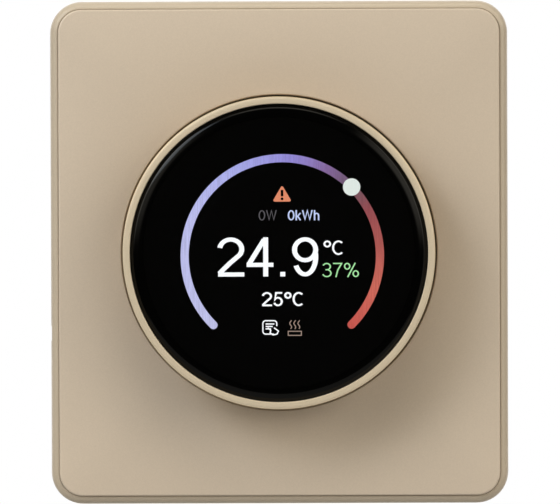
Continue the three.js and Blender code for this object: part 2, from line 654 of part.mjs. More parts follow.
// The flat cable leaves the display's back, goes through the carrier's slot and folds down into its socket.
function displayFlex() {
  const { width, thick, y, bend, low, end } = FLEX;
  const [outer, inner] = [y - thick / 2, y + thick / 2];
  const centre = [outer + bend, low + bend];
  const profile = new THREE.Shape();
  profile.moveTo(outer, CARRIER.seat);
  profile.lineTo(outer, centre[1]);
  profile.absarc(...centre, bend, Math.PI, 1.5 * Math.PI, false);
  profile.lineTo(end, low);
  profile.lineTo(end, low + thick);
  profile.absarc(...centre, bend - thick, 1.5 * Math.PI, Math.PI, true);
  profile.lineTo(inner, CARRIER.seat);
  const options = { depth: width, bevelEnabled: false, curveSegments: 6 };
  const ribbon = new THREE.ExtrudeGeometry(profile, options).translate(0, 0, -width / 2);
  // The profile's (x, y) are the panel frame's (y, z), and its width runs along x.
  const turn = new THREE.Matrix4().makeBasis(
    new THREE.Vector3(0, 1, 0),
    new THREE.Vector3(0, 0, 1),
    new THREE.Vector3(1, 0, 0),
  );
  return solidOf(ribbon.applyMatrix4(turn));
}

const glassGasket = () =>
  turned(washerProfile(CARRIER.lcdBore + 0.1, GLASS.radius - 0.2, CARRIER.front + 0.05, GLASS.back - 0.05));

function coverGlass() {
  const { radius, back, front, bevelWidth, bevelDepth } = GLASS;
  // The curved edge, as shares of the bevel's width and depth.
  const curve = [
    [0, 1],
    [0.25, 0.51],
    [0.6, 0.14],
    [1, 0],
  ].map(([across, down]) => [radius - across * bevelWidth, front - down * bevelDepth]);
  return turned([[0, back], [radius, back], ...curve, [0, front]]);
}

class Helix extends THREE.Curve {
  getPoint(t) {
    const angle = 2 * Math.PI * SPRING.turns * t;
    const rise = SPRING.bottom + SPRING.wire + (SPRING.top - SPRING.bottom - 2 * SPRING.wire) * t;
    return new THREE.Vector3(SPRING.radius * Math.cos(angle), SPRING.radius * Math.sin(angle), rise);
  }
}

function returnSpring() {
  const wire = new THREE.Shape();
  wire.absarc(0, 0, SPRING.wire, 0, 2 * Math.PI);
  const options = { steps: 9 * SPRING.turns, extrudePath: new Helix(), curveSegments: 3 };
  return solidOf(new THREE.ExtrudeGeometry(wire, options));
}

// ---------------------------------------------------------------- the knob's ring, which turns

function knobRing() {
  const { radius, lipRadius, lipBack, bore, front, back } = KNOB;
  return turned([
    [bore, back],
    [radius, back],
    [radius, front - 0.5],
    [radius - 0.15, front - 0.15],
    [radius - 0.5, front],
    [lipRadius + 0.15, front],
    [lipRadius, front - 0.15],
    [lipRadius, lipBack],
    [bore, lipBack],
    [bore, back],
  ]);
}

function ringGear() {
  const outline = new THREE.Shape();
  outline.absarc(0, 0, RING_GEAR.radius, 0, 2 * Math.PI);
  const hollow = gearOutline(GEAR.ringTeeth, 1.25, 0.9, GEAR.backlash / 2);
  outline.holes = [new THREE.Path(hollow)];
  const turnedToPinion = slab(outline, RING_GEAR.back, RING_GEAR.front, FINE / 2);
  return turnedToPinion.rotate([0, 0, ENCODER_ANGLE]);
}

const glideWasher = () =>
  turned(washerProfile(GLIDE_WASHER.inner, GLIDE_WASHER.outer, RING_GEAR.front + GAP, CARRIER.back - GAP));

// ---------------------------------------------------------------- materials and assembly

const material = (color, roughness, metalness = 0) =>
  new THREE.MeshStandardMaterial({ color, roughness, metalness });

const CHAMPAGNE = material(0xc9b899, 0.45);
const CHAMPAGNE_METAL = material(0xd3c1a1, 0.35, 0.6);
const GREY_PLASTIC = material(0xd9d8d3, 0.55);
const BLACK_PLASTIC = material(0x1c1c1e, 0.5);
const BLACK_GLASS = material(0x050506, 0.05);
const STEEL = material(0xb9bcc0, 0.35, 1);
const WHITE_POM = material(0xefece2, 0.4);
const BOARD_GREEN = material(0x14532f, 0.5);
const BOARD_BLACK = material(0x15171a, 0.5);
const RELAY_BLUE = material(0x1f4f9c, 0.45);
const TAPE_YELLOW = material(0xd9b13a, 0.5);
const VARISTOR_BLUE = material(0x1c3f7a, 0.4);
const FUSE_BROWN = material(0x5a3120, 0.45);
const TERMINAL_GREEN = material(0x2f7d4d, 0.5);
const FLEX_AMBER = material(0xb97a1e, 0.4);

const panelFrame = new THREE.Group();

function place(name, solid, finish, x = 0, y = 0, z = 0) {
  const mesh = new THREE.Mesh(geometryOf(solid), finish);
  mesh.name = name;
  mesh.position.set(x, y, z);
  panelFrame.add(mesh);
  return mesh;
}

// Copies of one solid, numbered from 1.
function placeEach(name, solid, finish, places) {
  places.forEach(([x, y, z = 0], i) => place(`${name}_${i + 1}`, solid, finish, x, y, z));
}

place("mounting_yoke", mountingYoke(), STEEL);
place("rear_housing", rearHousing(), GREY_PLASTIC);
place("terminal_block", terminalBlock(), TERMINAL_GREEN);
place("power_board", powerBoard(), BOARD_GREEN);
place("power_cover", powerCover(), GREY_PLASTIC);
place("relay", powerBlock(RELAY), RELAY_BLUE);
place("transformer", transformer(), TAPE_YELLOW);
place("bulk_capacitor", bulkCapacitor(), BLACK_PLASTIC);
place("varistor", varistor(), VARISTOR_BLUE);
place("fuse", powerBlock(FUSE), FUSE_BROWN);
place("bus_socket", busSocket(), BLACK_PLASTIC);

// Screws that face the back are turned over.
const turnedOver = (solid) => solid.rotate([180, 0, 0]);

const terminalScrew = screw({ head: 2.4, headHeight: 1.5, shank: 1.5, length: 6 });
const terminalScrewZ = TERMINAL.back + TERMINAL_WELL.screwDepth;
const powerScrew = screw({ head: 2.2, headHeight: 1.3, shank: 1.1, length: 7 });
const yokeScrew = screw({ head: 2.3, headHeight: 1.1, shank: 1.2, length: 1.9 });
const wallScrew = screw({ head: 3.9, headHeight: 2.1, shank: 1.95, length: 27 });
placeEach(
  "terminal_screw", turnedOver(terminalScrew), STEEL, poleX.map((x) => [x, TERMINAL.y, terminalScrewZ]),
);
placeEach(
  "power_board_screw", powerScrew, STEEL,
  powerScrewPlaces.map(([x, y]) => [x, y, POWER_BOARD.front + GAP]),
);
placeEach(
  "yoke_screw", yokeScrew, STEEL,
  corners(YOKE_SCREW.reach).map(([x, y]) => [x, y, YOKE_SCREW.seat + 0.05]),
);
placeEach("wall_screw", wallScrew, STEEL, fixingPlaces.map(([x, y]) => [x, y, YOKE.thick + GAP]));

place("surround_frame", surroundFrame(), CHAMPAGNE);
place("front_panel", frontPanel(), CHAMPAGNE);
place("front_housing", frontHousing(), BLACK_PLASTIC);
place("main_board", mainBoard(), BOARD_BLACK);
place("radio_module", radioModule(), STEEL);
place("display_socket", displaySocket(), WHITE_POM);
place("climate_sensor", climateSensor(), BLACK_PLASTIC);
place("backup_cell", backupCell(), STEEL);
place("buzzer", buzzer(), BLACK_PLASTIC);
place("pin_header", pinHeader(), BLACK_PLASTIC);
place("encoder_body", encoderBody(), STEEL);
place("press_switch", pressSwitch(), STEEL);

const boardScrew = screw({ head: 2.1, headHeight: 1, shank: 0.95, length: 3 });
placeEach(
  "board_screw", turnedOver(boardScrew), STEEL,
  corners(BOARD_SCREW.reach).map(([x, y]) => [x, y, BOARD_TOP]),
);

const encoderAxis = new THREE.Group();
encoderAxis.position.set(...encoderPlace, 0);
encoderAxis.rotation.z = radians(ENCODER_ANGLE);
encoderAxis.add(place("encoder_shaft", encoderShaft(), STEEL));
encoderAxis.add(place("drive_pinion", drivePinion(), WHITE_POM));
panelFrame.add(encoderAxis);

place("switch_plunger", switchPlunger(), BLACK_PLASTIC);

place("display_carrier", displayCarrier(), BLACK_PLASTIC);
place("lcd_module", lcdModule(), BLACK_GLASS);
place("display_flex", displayFlex(), FLEX_AMBER);
place("glass_gasket", glassGasket(), BLACK_PLASTIC);
place("cover_glass", coverGlass(), BLACK_GLASS);
const guideScrew = screw({ head: 3, headHeight: 1, shank: 0.95, length: 5.5 });
placeEach("return_spring", returnSpring(), STEEL, guides);
placeEach("guide_screw", turnedOver(guideScrew), STEEL, guides.map(([x, y]) => [x, y, HOUSING.back - 0.02]));

place("knob_ring", knobRing(), CHAMPAGNE_METAL);
place("ring_gear", ringGear(), BLACK_PLASTIC);
place("glide_washer", glideWasher(), WHITE_POM);

panelFrame.rotation.x = Math.PI / 2;
const thermostat = new THREE.Group();
thermostat.add(panelFrame);

export default thermostat;
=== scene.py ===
"""The looks of a wall thermostat with a turning, pressable display knob, around its CAD frame.

Meshes are drawn in panel millimetres: x is right, y is up and z is the distance out from the wall.
PANEL turns them into the frame's metres, where the front faces -Y and +Z is up.
"""

import math

import bmesh
import bpy
from mathutils import Matrix, Vector


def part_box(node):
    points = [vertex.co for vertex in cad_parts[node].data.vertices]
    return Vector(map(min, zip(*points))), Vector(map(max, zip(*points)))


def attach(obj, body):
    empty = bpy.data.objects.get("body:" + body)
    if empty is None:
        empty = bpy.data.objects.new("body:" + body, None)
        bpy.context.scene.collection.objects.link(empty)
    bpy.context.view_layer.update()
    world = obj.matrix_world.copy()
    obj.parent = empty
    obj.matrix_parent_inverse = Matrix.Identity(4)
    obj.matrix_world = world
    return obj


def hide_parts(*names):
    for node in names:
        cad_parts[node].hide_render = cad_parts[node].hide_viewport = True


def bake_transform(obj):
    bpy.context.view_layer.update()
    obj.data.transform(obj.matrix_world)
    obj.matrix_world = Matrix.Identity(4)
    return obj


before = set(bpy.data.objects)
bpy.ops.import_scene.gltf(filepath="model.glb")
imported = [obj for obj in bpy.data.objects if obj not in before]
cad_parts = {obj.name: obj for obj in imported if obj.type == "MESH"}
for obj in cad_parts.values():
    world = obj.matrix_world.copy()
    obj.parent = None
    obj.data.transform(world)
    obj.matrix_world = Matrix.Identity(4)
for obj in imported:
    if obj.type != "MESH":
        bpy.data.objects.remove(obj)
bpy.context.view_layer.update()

MM = 0.001
PANEL = Matrix(((MM, 0, 0, 0), (0, 0, -MM, 0), (0, MM, 0, 0), (0, 0, 0, 1)))
SHARP = math.radians(35)  # edges that turn by more than this stay sharp


class Span:
    """A CAD node's box in panel millimetres."""

    def __init__(self, node):
        low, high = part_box(node)
        self.left, self.right = low.x / MM, high.x / MM
        self.bottom, self.top = low.z / MM, high.z / MM
        self.back, self.front = -high.y / MM, -low.y / MM
        self.x, self.y = (self.left + self.right) / 2, (self.bottom + self.top) / 2
        self.width, self.height = self.right - self.left, self.top - self.bottom
        self.depth = self.front - self.back
        self.size = self.width, self.height, self.depth
        self.radius = self.width / 2


# ---------------- meshes


def arc(x, y, radius_x, radius_y, start, end, steps=24):
    """Points along an ellipse, from the start angle to the end angle in degrees."""
    angles = [math.radians(start + (end - start) * i / steps) for i in range(steps + 1)]
    return [(x + radius_x * math.cos(a), y + radius_y * math.sin(a)) for a in angles]


def circle(x, y, radius, sides):
    return arc(x, y, radius, radius, 0, 360, sides)[:-1]


def row(count, pitch):
    """Evenly spaced positions, centred on 0."""
    return [(i - (count - 1) / 2) * pitch for i in range(count)]


def filleted(corners, steps=5, closed=True):
    """Rounds a flat outline. Each corner is (x, y) or (x, y, fillet radius)."""
    points = []
    for i, corner in enumerate(corners):
        here = Vector(corner[:2])
        radius = corner[2] if len(corner) > 2 else 0
        if radius == 0 or (not closed and i in (0, len(corners) - 1)):
            points.append(here)
            continue
        before = Vector(corners[i - 1][:2]) - here
        after = Vector(corners[(i + 1) % len(corners)][:2]) - here
        half = before.angle(after) / 2
        reach = min(radius / math.tan(half), before.length / 2, after.length / 2)
        radius = reach * math.tan(half)
        middle = here + (before.normalized() + after.normalized()).normalized() * radius / math.sin(half)
        first = here + before.normalized() * reach - middle
        turn = first.angle_signed(here + after.normalized() * reach - middle)
        for k in range(steps + 1):
            step = first.copy()
            step.rotate(Matrix.Rotation(-turn * k / steps, 2))
            points.append(middle + step)
    return [tuple(p) for p in points]


def rounded_rect(width, height, corner, steps=6, x=0, y=0):
    w, h = width / 2, height / 2
    return filleted([(x + px, y + py, corner) for px, py in ((w, -h), (w, h), (-w, h), (-w, -h))], steps)


def loft(bm, loops, closed=False, material=0):
    """Joins rings of the same number of points with quads."""
    rings = [[bm.verts.new(p) for p in loop] for loop in loops]
    following = rings[1:] + rings[:1] if closed else rings[1:]
    for ring, after in zip(rings, following):
        for i in range(len(ring)):
            j = (i + 1) % len(ring)
            bm.faces.new((ring[i], ring[j], after[j], after[i])).material_index = material
    return rings


def cap(bm, ring, material=0):
    """Closes a ring with one flat face."""
    bm.faces.new(ring).material_index = material


def lathe(bm, profile, sides=96, x=0, y=0, material=0):
    """Turns a closed profile of (radius, z) points about the line through x, y."""
    turns = [math.tau * i / sides for i in range(sides)]
    loops = [[(x + r * math.cos(a), y + r * math.sin(a), z) for a in turns] for r, z in profile]
    loft(bm, loops, closed=True, material=material)


def puck(bm, radius, back, front, sides, material=0):
    lathe(bm, [(0, back), (radius, back), (radius, front), (0, front)], sides, material=material)


def prism(bm, outline, back, front, edge=0.15, material=0):
    """Extrudes an outline that goes anticlockwise, with a small round on its two edges."""
    centre = Vector((sum(p[0] for p in outline), sum(p[1] for p in outline))) / len(outline)
    reach = max((Vector(p) - centre).length for p in outline)
    steps = [(edge, back), (edge * 0.3, back + edge * 0.3), (0, back + edge)]
    steps += [(0, front - edge), (edge * 0.3, front - edge * 0.3), (edge, front)]
    loops = []
    for inset, z in steps:
        scale = 1 - inset / reach
        loops.append([(*(centre + (Vector(p) - centre) * scale), z) for p in outline])
    rings = loft(bm, loops, material=material)
    cap(bm, rings[0], material)
    cap(bm, rings[-1], material)


def brick(bm, x, y, width, height, back, front, edge=0.15, corner=0.1, material=0):
    """A box with rounded edges, centred on x, y."""
    prism(bm, rounded_rect(width, height, corner, 2, x, y), back, front, edge, material)


def rod(bm, x, y, radius, back, front, sides=20, edge=0.05, material=0):
    prism(bm, circle(x, y, radius, sides), back, front, edge, material)


def tidy(bm):
    bmesh.ops.remove_doubles(bm, verts=bm.verts, dist=1e-4)
    bmesh.ops.dissolve_degenerate(bm, edges=bm.edges, dist=1e-5)
    bmesh.ops.recalc_face_normals(bm, faces=bm.faces)


def mesh_of(name, bm):
    """Makes the panel-millimetre bmesh a Blender mesh in the frame's metres."""
    tidy(bm)
    bm.transform(PANEL)
    mesh = bpy.data.meshes.new(name)
    bm.to_mesh(mesh)
    bm.free()
    mesh.shade_smooth()
    mesh.set_sharp_from_angle(angle=SHARP)
    return mesh


def piece(name, mesh, looks, body, slot, *nodes):
    """Puts a mesh in the scene, on a CAD body, in place of the CAD nodes that it stands for."""
    if isinstance(mesh, bmesh.types.BMesh):
        mesh = mesh_of(name, mesh)
    made = bpy.data.objects.new(name, mesh)
    bpy.context.collection.objects.link(made)
    if not mesh.materials:
        for look in looks if isinstance(looks, (list, tuple)) else [looks]:
            mesh.materials.append(look.material)
    if nodes:
        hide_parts(*nodes)
    if body:
        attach(made, body)
    return made


def carved(mesh, cutter):
    """A mesh with another one cut out of it."""
    whole, knife = (bpy.data.objects.new(m.name, m) for m in (mesh, cutter))
    for made in (whole, knife):
        bpy.context.collection.objects.link(made)
    cut = whole.modifiers.new("cut", "BOOLEAN")
    cut.object = knife
    cut.solver = "EXACT"
    bpy.context.view_layer.update()
    result = bpy.data.meshes.new_from_object(whole.evaluated_get(bpy.context.evaluated_depsgraph_get()))
    result.name = mesh.name
    bpy.data.objects.remove(whole)
    bpy.data.objects.remove(knife)
    return result


# ---------------- materials


def linear(code):
    """A hex colour as linear light."""
    channels = [int(code[i : i + 2], 16) / 255 for i in (1, 3, 5)]
    return [c / 12.92 if c <= 0.04045 else ((c + 0.055) / 1.055) ** 2.4 for c in channels]


class Nodes:
    """A node tree, with short ways to add to it."""

    def __init__(self, tree):
        self.tree = tree

    def feed(self, socket, value):
        """Links an output to a socket, or gives the socket a value."""
        if isinstance(value, bpy.types.NodeSocket):
            self.tree.links.new(value, socket)
        else:
            socket.default_value = value

    def node(self, kind, *inputs, **settings):
        """Adds a node. The inputs are in its order, and a setting is an input or else a property."""
        made = self.tree.nodes.new(kind)
        for socket, value in zip(made.inputs, inputs):
            self.feed(socket, value)
        for key, value in settings.items():
            if key in made.inputs:
                self.feed(made.inputs[key], value)
            else:
                setattr(made, key, value)
        return made

    def spread(self, value, start, end, low, high, kind="LINEAR"):
        """Maps start to end onto low to high."""
        made = self.node("ShaderNodeMapRange", value, start, end, low, high, interpolation_type=kind)
        return made.outputs["Result"]

    def scaled(self, vector, factor):
        return self.node("ShaderNodeVectorMath", vector, operation="SCALE", Scale=factor).outputs["Vector"]


class Look(Nodes):
    """A Principled material with helpers for its texture nodes."""

    def __init__(self, name, colour, roughness, metallic=0.0, specular=0.5):
        self.material = bpy.data.materials.new(name)
        self.material.use_nodes = True
        super().__init__(self.material.node_tree)
        self.shader = self.tree.nodes["Principled BSDF"]
        self.colour = linear(colour)
        self.roughness = roughness
        self.material.diffuse_color = (*self.colour, 1)
        self.put("Base Color", (*self.colour, 1))
        self.put("Roughness", roughness)
        self.put("Metallic", metallic)
        self.put("Specular IOR Level", specular)

    def put(self, socket, value):
        self.feed(self.shader.inputs[socket], value)
        return self

    def noise(self, size, detail, scale=(1, 1, 1)):
        """Noise with grains of a size in millimetres, stretched by scale."""
        where = self.node("ShaderNodeTexCoord").outputs["Object"]
        mapped = self.node("ShaderNodeMapping", Vector=where, Scale=[s / MM for s in scale]).outputs["Vector"]
        return self.node("ShaderNodeTexNoise", Vector=mapped, Scale=1 / size, Detail=detail).outputs["Fac"]

    def between(self, low, high, *grain):
        """A noise's useful range, mapped onto low to high."""
        return self.spread(self.noise(*grain), 0.3, 0.7, low, high)

    def shade(self, size, amount, detail=3.0, scale=(1, 1, 1)):
        """Varies the colour's brightness by amount, in patches of a size in millimetres."""
        factor = self.between(1 - amount, 1 + amount, size, detail, scale)
        return self.put("Base Color", self.scaled(self.colour, factor))

    def vary_gloss(self, size, amount):
        low, high = self.roughness - amount, self.roughness + amount
        return self.put("Roughness", self.between(low, high, size, 2.0))

    def bump(self, size, depth, scale=(1, 1, 1)):
        """A grain of a size and a depth in millimetres."""
        height = self.noise(size, 2.0, scale)
        made = self.node("ShaderNodeBump", Height=height, Distance=depth * MM)
        return self.put("Normal", made.outputs["Normal"])

    def glow(self, colour, strength, low, high, size):
        """Lights a black look up in the fine rows of a display."""
        rows = self.between(low, high, size, 1.0, (1, 1, 0.05))
        return self.put("Emission Color", self.scaled(colour, rows)).put("Emission Strength", strength)


def painted(name, colour, roughness=0.42, grain=0.16, depth=0.006):
    """Moulded plastic or paint with a fine even grain."""
    return Look(name, colour, roughness).shade(grain * 2, 0.03).vary_gloss(1.5, 0.04).bump(grain, depth)


CHAMPAGNE = painted("champagne_satin", "#cfc0b0", 0.46, 0.14, 0.004)
RIM_PAINT = painted("champagne_rim", "#c2b4a2", 0.4, 0.14, 0.004)
RING_FACE = Look("champagne_blasted", "#dacbb4", 0.45, 0.25).shade(0.12, 0.05).bump(0.08, 0.004)
# The ring's polished side and the lower part of its edge round are a darker champagne than its face. This is
# painted shade, which darkens the knob's outline and the plate around the knob.
RING_SIDE_SHADED = Look("champagne_polished_painted_shade", "#a08b6b", 0.36, 0.9)
RING_SIDE_SHADED.shade(0.4, 0.05, 2.0, (0.05, 1, 0.05)).vary_gloss(0.3, 0.05)
BLACK_PLASTIC = painted("black_moulded", "#17171a", 0.5)
GLASS = Look("cover_glass", "#ffffff", 0.0, 0.0, 0.16).shade(8, 0.004)
GLASS.put("Transmission Weight", 1.0).put("IOR", 1.45)
BLACK_INK = Look("black_ink", "#040404", 1.0, 0.0, 0.0).shade(0.5, 0.1)
GLASS_EDGE = Look("black_glass_edge", "#020202", 0.11, 0.0, 0.16).shade(0.5, 0.1)
LCD_BLACK = Look("display_black", "#030304", 1.0, 0.0, 0.0).shade(0.11, 0.1)
LCD_CAN = Look("display_can", "#b9bcc0", 0.3, 1.0).shade(3, 0.05).bump(0.4, 0.003)


def glow(name, colour, strength=1.0):
    """Lit display pixels of one colour."""
    return Look(name, "#000000", 0.5, 0.0, 0.0).glow(linear(colour), strength, 0.93, 1.0, 0.22)


# ---------------- plate

plate = Span("surround_frame")
panel = Span("front_panel")
ring = Span("knob_ring")
glass = Span("cover_glass")
lcd = Span("lcd_module")

PLATE_CORNER = 6.0
PLATE_WALL = 1.6
BACK_EDGE = 0.3
RIM_WIDTH, RIM_TOP, RIM_DROP = 1.58, 9.4, 2.1  # the rim slopes down to the plate's sides
CREST_WIDTH, CREST_EDGE, INNER_CORNER = 0.2, 0.1, 0.4
LEDGE_REACH, LEDGE_BACK, LEDGE_FRONT = 4.0, 6.6, 7.9  # the ledge under the front sheet
VENTS, VENT_PITCH, VENT_WIDTH, VENT_LENGTH, VENT_CORNER, VENT_Z = 6, 4.0, 1.4, 2.6, 0.65, 3.9
PRY_X, PRY_WIDTH, PRY_HEIGHT, PRY_DEPTH = 24, 9, 4, 1.3
NOTCH_Y, NOTCH_WIDTH, NOTCH_HEIGHT, NOTCH_OVERHANG, NOTCH_CORNER = -15.1, 4, 6.2, 1.82, 1.9
NOTCH_BACK, NOTCH_FRONT = 4.2, 12
CUT_REACH = 2  # how far a vent's knife goes on each side of the outer face


def surround_knife():
    """Vents in the top and bottom, a pry slot in the bottom and a notch in the left side."""
    knife = bmesh.new()
    for wall in (-plate.height / 2, plate.height / 2):
        for x in row(VENTS, VENT_PITCH):
            slot = rounded_rect(VENT_WIDTH, VENT_LENGTH, VENT_CORNER, 5, x, VENT_Z)
            ends = (wall - CUT_REACH, wall + CUT_REACH)
            rings = loft(knife, [[(px, end, pz) for px, pz in slot] for end in ends])
            cap(knife, rings[0])
            cap(knife, rings[1])
    brick(knife, PRY_X, -plate.height / 2, PRY_WIDTH, PRY_HEIGHT, -1, PRY_DEPTH, 0.1, 0.2)
    left = -plate.width / 2 - NOTCH_OVERHANG
    brick(knife, left, NOTCH_Y, NOTCH_WIDTH, NOTCH_HEIGHT, NOTCH_BACK, NOTCH_FRONT, 0.05, NOTCH_CORNER)
    return mesh_of("surround_knife", knife)


def surround():
    back = plate.back
    profile = [(BACK_EDGE, back), (BACK_EDGE * 0.3, back + BACK_EDGE * 0.3), (0, back + BACK_EDGE)]
    profile += arc(RIM_WIDTH, RIM_TOP - RIM_DROP, RIM_WIDTH, RIM_DROP, 180, 98, 9)
    crest = [(RIM_WIDTH - CREST_WIDTH, RIM_TOP), (RIM_WIDTH, RIM_TOP, CREST_EDGE), (RIM_WIDTH, LEDGE_FRONT)]
    profile += filleted(crest, 3, False)[1:]
    profile += [(LEDGE_REACH, LEDGE_FRONT), (LEDGE_REACH, LEDGE_BACK)]
    profile += [(PLATE_WALL, LEDGE_BACK), (PLATE_WALL, back)]
    loops = []
    for inset, z in profile:
        corner = max(PLATE_CORNER - inset, INNER_CORNER)
        outline = rounded_rect(plate.width - 2 * inset, plate.height - 2 * inset, corner, 14)
        loops.append([(x, y, z) for x, y in outline])
    bm = bmesh.new()
    loft(bm, loops, closed=True)
    name = "surround_frame_shell"
    mesh = carved(mesh_of(name, bm), surround_knife())
    mesh.set_sharp_from_angle(angle=SHARP)
    piece(name, mesh, RIM_PAINT, "front_unit", "champagne_plastic", "surround_frame")


SHEET_GAP = 0.07  # the groove between the rim and the front sheet
SHEET_THICKNESS, SHEET_EDGE = 2, 0.35
SHEET_SPACING = 1.6  # between the points on its straight sides
OPENING = ring.radius + 0.85
OPENING_EDGE = 0.3
STAKE_X, STAKE_Y, STAKE_RADIUS, STAKE_EDGE = 34.5, 39, 1.5, 0.3


def dense_rect(width, height, corner):
    """A rounded rectangle whose sides carry points too, for a sheet that meets a circle."""
    outline = rounded_rect(width, height, corner, 10)
    points = []
    for i, here in enumerate(outline):
        there = Vector(outline[(i + 1) % len(outline)])
        length = (there - Vector(here)).length
        count = round(length / SHEET_SPACING) if length > 4 * SHEET_SPACING else 1
        points += [tuple(Vector(here).lerp(there, k / count)) for k in range(count)]
    return points


def front_sheet():
    margin = RIM_WIDTH + SHEET_GAP
    width, height = plate.width - 2 * margin, plate.height - 2 * margin
    back, front = panel.front - SHEET_THICKNESS, panel.front
    base = dense_rect(width, height, PLATE_CORNER - margin)
    edge = arc(SHEET_EDGE, front - SHEET_EDGE, -SHEET_EDGE, SHEET_EDGE, 0, 90, 5)
    loops = []
    for inset, z in [(0, back), *edge]:
        scale_x, scale_y = 1 - 2 * inset / width, 1 - 2 * inset / height
        loops.append([(x * scale_x, y * scale_y, z) for x, y in base])
    angles = [math.atan2(y, x) for x, y in base]
    lip = arc(OPENING + OPENING_EDGE, front - OPENING_EDGE, OPENING_EDGE, OPENING_EDGE, 90, 180, 4)
    loops += [[(r * math.cos(a), r * math.sin(a), z) for a in angles] for r, z in [*lip, (OPENING, back)]]
    bm = bmesh.new()
    loft(bm, loops, closed=True)
    for x in (-STAKE_X, STAKE_X):
        for y in (-STAKE_Y, STAKE_Y):
            rod(bm, x, y, STAKE_RADIUS, panel.back, back + 0.05, edge=STAKE_EDGE)
    piece("front_sheet", bm, CHAMPAGNE, "front_unit", "champagne_plastic", "front_panel")


# ---------------- knob

FINE = 256  # sides of the turned parts that the front shows
RING_FACE_WIDTH, RING_FACE_DEPTH, RING_WALL = 1.35, 1.75, 0.9
RING_EDGE, RING_EDGE_DEPTH, RING_EDGE_DROP = 0.16, 0.18, 0.1  # the round at the face's outer edge
RING_BACK_EDGE = 0.25


def recolour(bm, test):
    """Gives the second material to the faces whose middle passes a test of its radius and z."""
    for face in bm.faces:
        middle = face.calc_center_median()
        face.material_index = int(test(math.hypot(middle.x, middle.y), middle.z))


def dial_ring():
    r, front, back = ring.radius, ring.front, ring.back
    inner, bore, outer = r - RING_FACE_WIDTH, r - RING_WALL, r - RING_EDGE
    shoulder, inside = front - RING_EDGE_DROP, front - RING_FACE_DEPTH
    profile = [(bore, back), (r - RING_BACK_EDGE, back), (r, back + RING_BACK_EDGE)]
    profile += arc(outer, shoulder - RING_EDGE_DEPTH, RING_EDGE, RING_EDGE_DEPTH, 0, 90, 6)
    profile += [(outer - inset, front - drop) for inset, drop in ((0.2, 0.03), (0.4, 0), (0.5, 0))]
    profile += [(inner + inset, front - drop) for inset, drop in ((0.2, 0), (0.1, 0), (0.03, 0.03))]
    profile += [(inner, shoulder), (inner, inside), (bore, inside)]
    bm = bmesh.new()
    lathe(bm, profile, FINE)
    # The side and the edge round below the shoulder get the darker champagne: painted shade
    recolour(bm, lambda radius, z: radius > outer and z < shoulder - 0.005)
    piece("dial_ring", bm, [RING_FACE, RING_SIDE_SHADED], "knob_dial", "champagne_metal", "knob_ring")


BEVEL_WIDTH, BEVEL_DROP, GLASS_CHAMFER = 2.3, 1.0, 0.1
INK_WIDTH, INK_THICKNESS, INK_GAP, INK_INSET = 1.6, 0.03, 0.02, 0.25
CELL_THICKNESS, CELL_INSET = 0.8, 0.6
CAN_EDGE, CAN_GAP = 0.3, 0.05


def glass_cover():
    flat = glass.radius - BEVEL_WIDTH
    profile = [(0, glass.back), (glass.radius - GLASS_CHAMFER, glass.back)]
    profile += [(glass.radius, glass.back + GLASS_CHAMFER)]
    profile += arc(flat, glass.front - BEVEL_DROP, BEVEL_WIDTH, BEVEL_DROP, 6, 90, 14)
    profile += [(0, glass.front)]
    bm = bmesh.new()
    lathe(bm, profile, FINE)
    recolour(bm, lambda radius, z: radius > flat)
    piece("glass_dome", bm, [GLASS, GLASS_EDGE], "knob_core", "black_glass", "cover_glass")


def display_cell():
    r, back = lcd.radius, lcd.back
    cell_back = lcd.front - CELL_THICKNESS
    can_front = cell_back - CAN_GAP
    bm = bmesh.new()
    puck(bm, r - CELL_INSET, cell_back, lcd.front, 128)
    can = [(0, back), (r - CAN_EDGE, back), (r, back + CAN_EDGE), (r, can_front), (0, can_front)]
    lathe(bm, can, 128, material=1)
    piece("display_cell", bm, [LCD_BLACK, LCD_CAN], "knob_core", "display", "lcd_module")
    inner, outer = r - INK_WIDTH, glass.radius - INK_INSET
    front = glass.back - INK_GAP
    back = front - INK_THICKNESS
    ink = bmesh.new()
    lathe(ink, [(inner, front), (outer, front), (outer, back), (inner, back)], 128)
    piece("glass_ink_border", ink, BLACK_INK, "knob_core", "black_glass")


# ---------------- display graphics

DISPLAY = Vector((0.62, -0.53))  # the picture's centre, a little off the knob's axis
DISPLAY_Z = lcd.front + 0.03
PIXEL_DEPTH = 0.02
LAYER = 0.003  # crossing strokes lie this far apart
PEN = 1.2  # the text's strokes are that many times wider across than up


def offsets(points, half):
    """The two sides of a polyline with a width, with mitred joints, and whether it closes on itself."""
    closed = (Vector(points[0]) - Vector(points[-1])).length < 1e-6
    line = [Vector(p) for p in (points[:-1] if closed else points)]
    sides = []
    for i, here in enumerate(line):
        ways = []
        if closed or i > 0:
            ways.append((here - line[i - 1]).normalized())
        if closed or i < len(line) - 1:
            ways.append((line[(i + 1) % len(line)] - here).normalized())
        normals = [Vector((-way.y, way.x)) for way in ways]
        middle = (normals[0] + normals[-1]).normalized()
        reach = half / max(0.4, middle.dot(normals[0]))
        sides.append((here + middle * reach, here - middle * reach))
    return sides, closed


def thicken(bm, faces, depth):
    raised = bmesh.ops.extrude_face_region(bm, geom=faces, use_keep_orig=True)
    top = [v for v in raised["geom"] if isinstance(v, bmesh.types.BMVert)]
    bmesh.ops.translate(bm, verts=top, vec=(0, 0, depth))


def stroke(bm, points, half, z, depth=PIXEL_DEPTH, material=0, pen=1.0):
    """A thin flat line. The pen is that many times wider across than up."""
    sides, closed = offsets([(x / pen, y) for x, y in points], half)
    pairs = [[bm.verts.new((side.x * pen, side.y, z)) for side in pair] for pair in sides]
    following = pairs[1:] + pairs[:1] if closed else pairs[1:]
    faces = [bm.faces.new((a, b, d, c)) for (a, b), (c, d) in zip(pairs, following)]
    for face in faces:
        face.material_index = material
    thicken(bm, faces, depth)


def patch(bm, outline, z):
    """A thin flat shape."""
    thicken(bm, [bm.faces.new([bm.verts.new((*p, z)) for p in outline])], PIXEL_DEPTH)


def disc(bm, x, y, radius, z):
    patch(bm, circle(x, y, radius, 32), z)


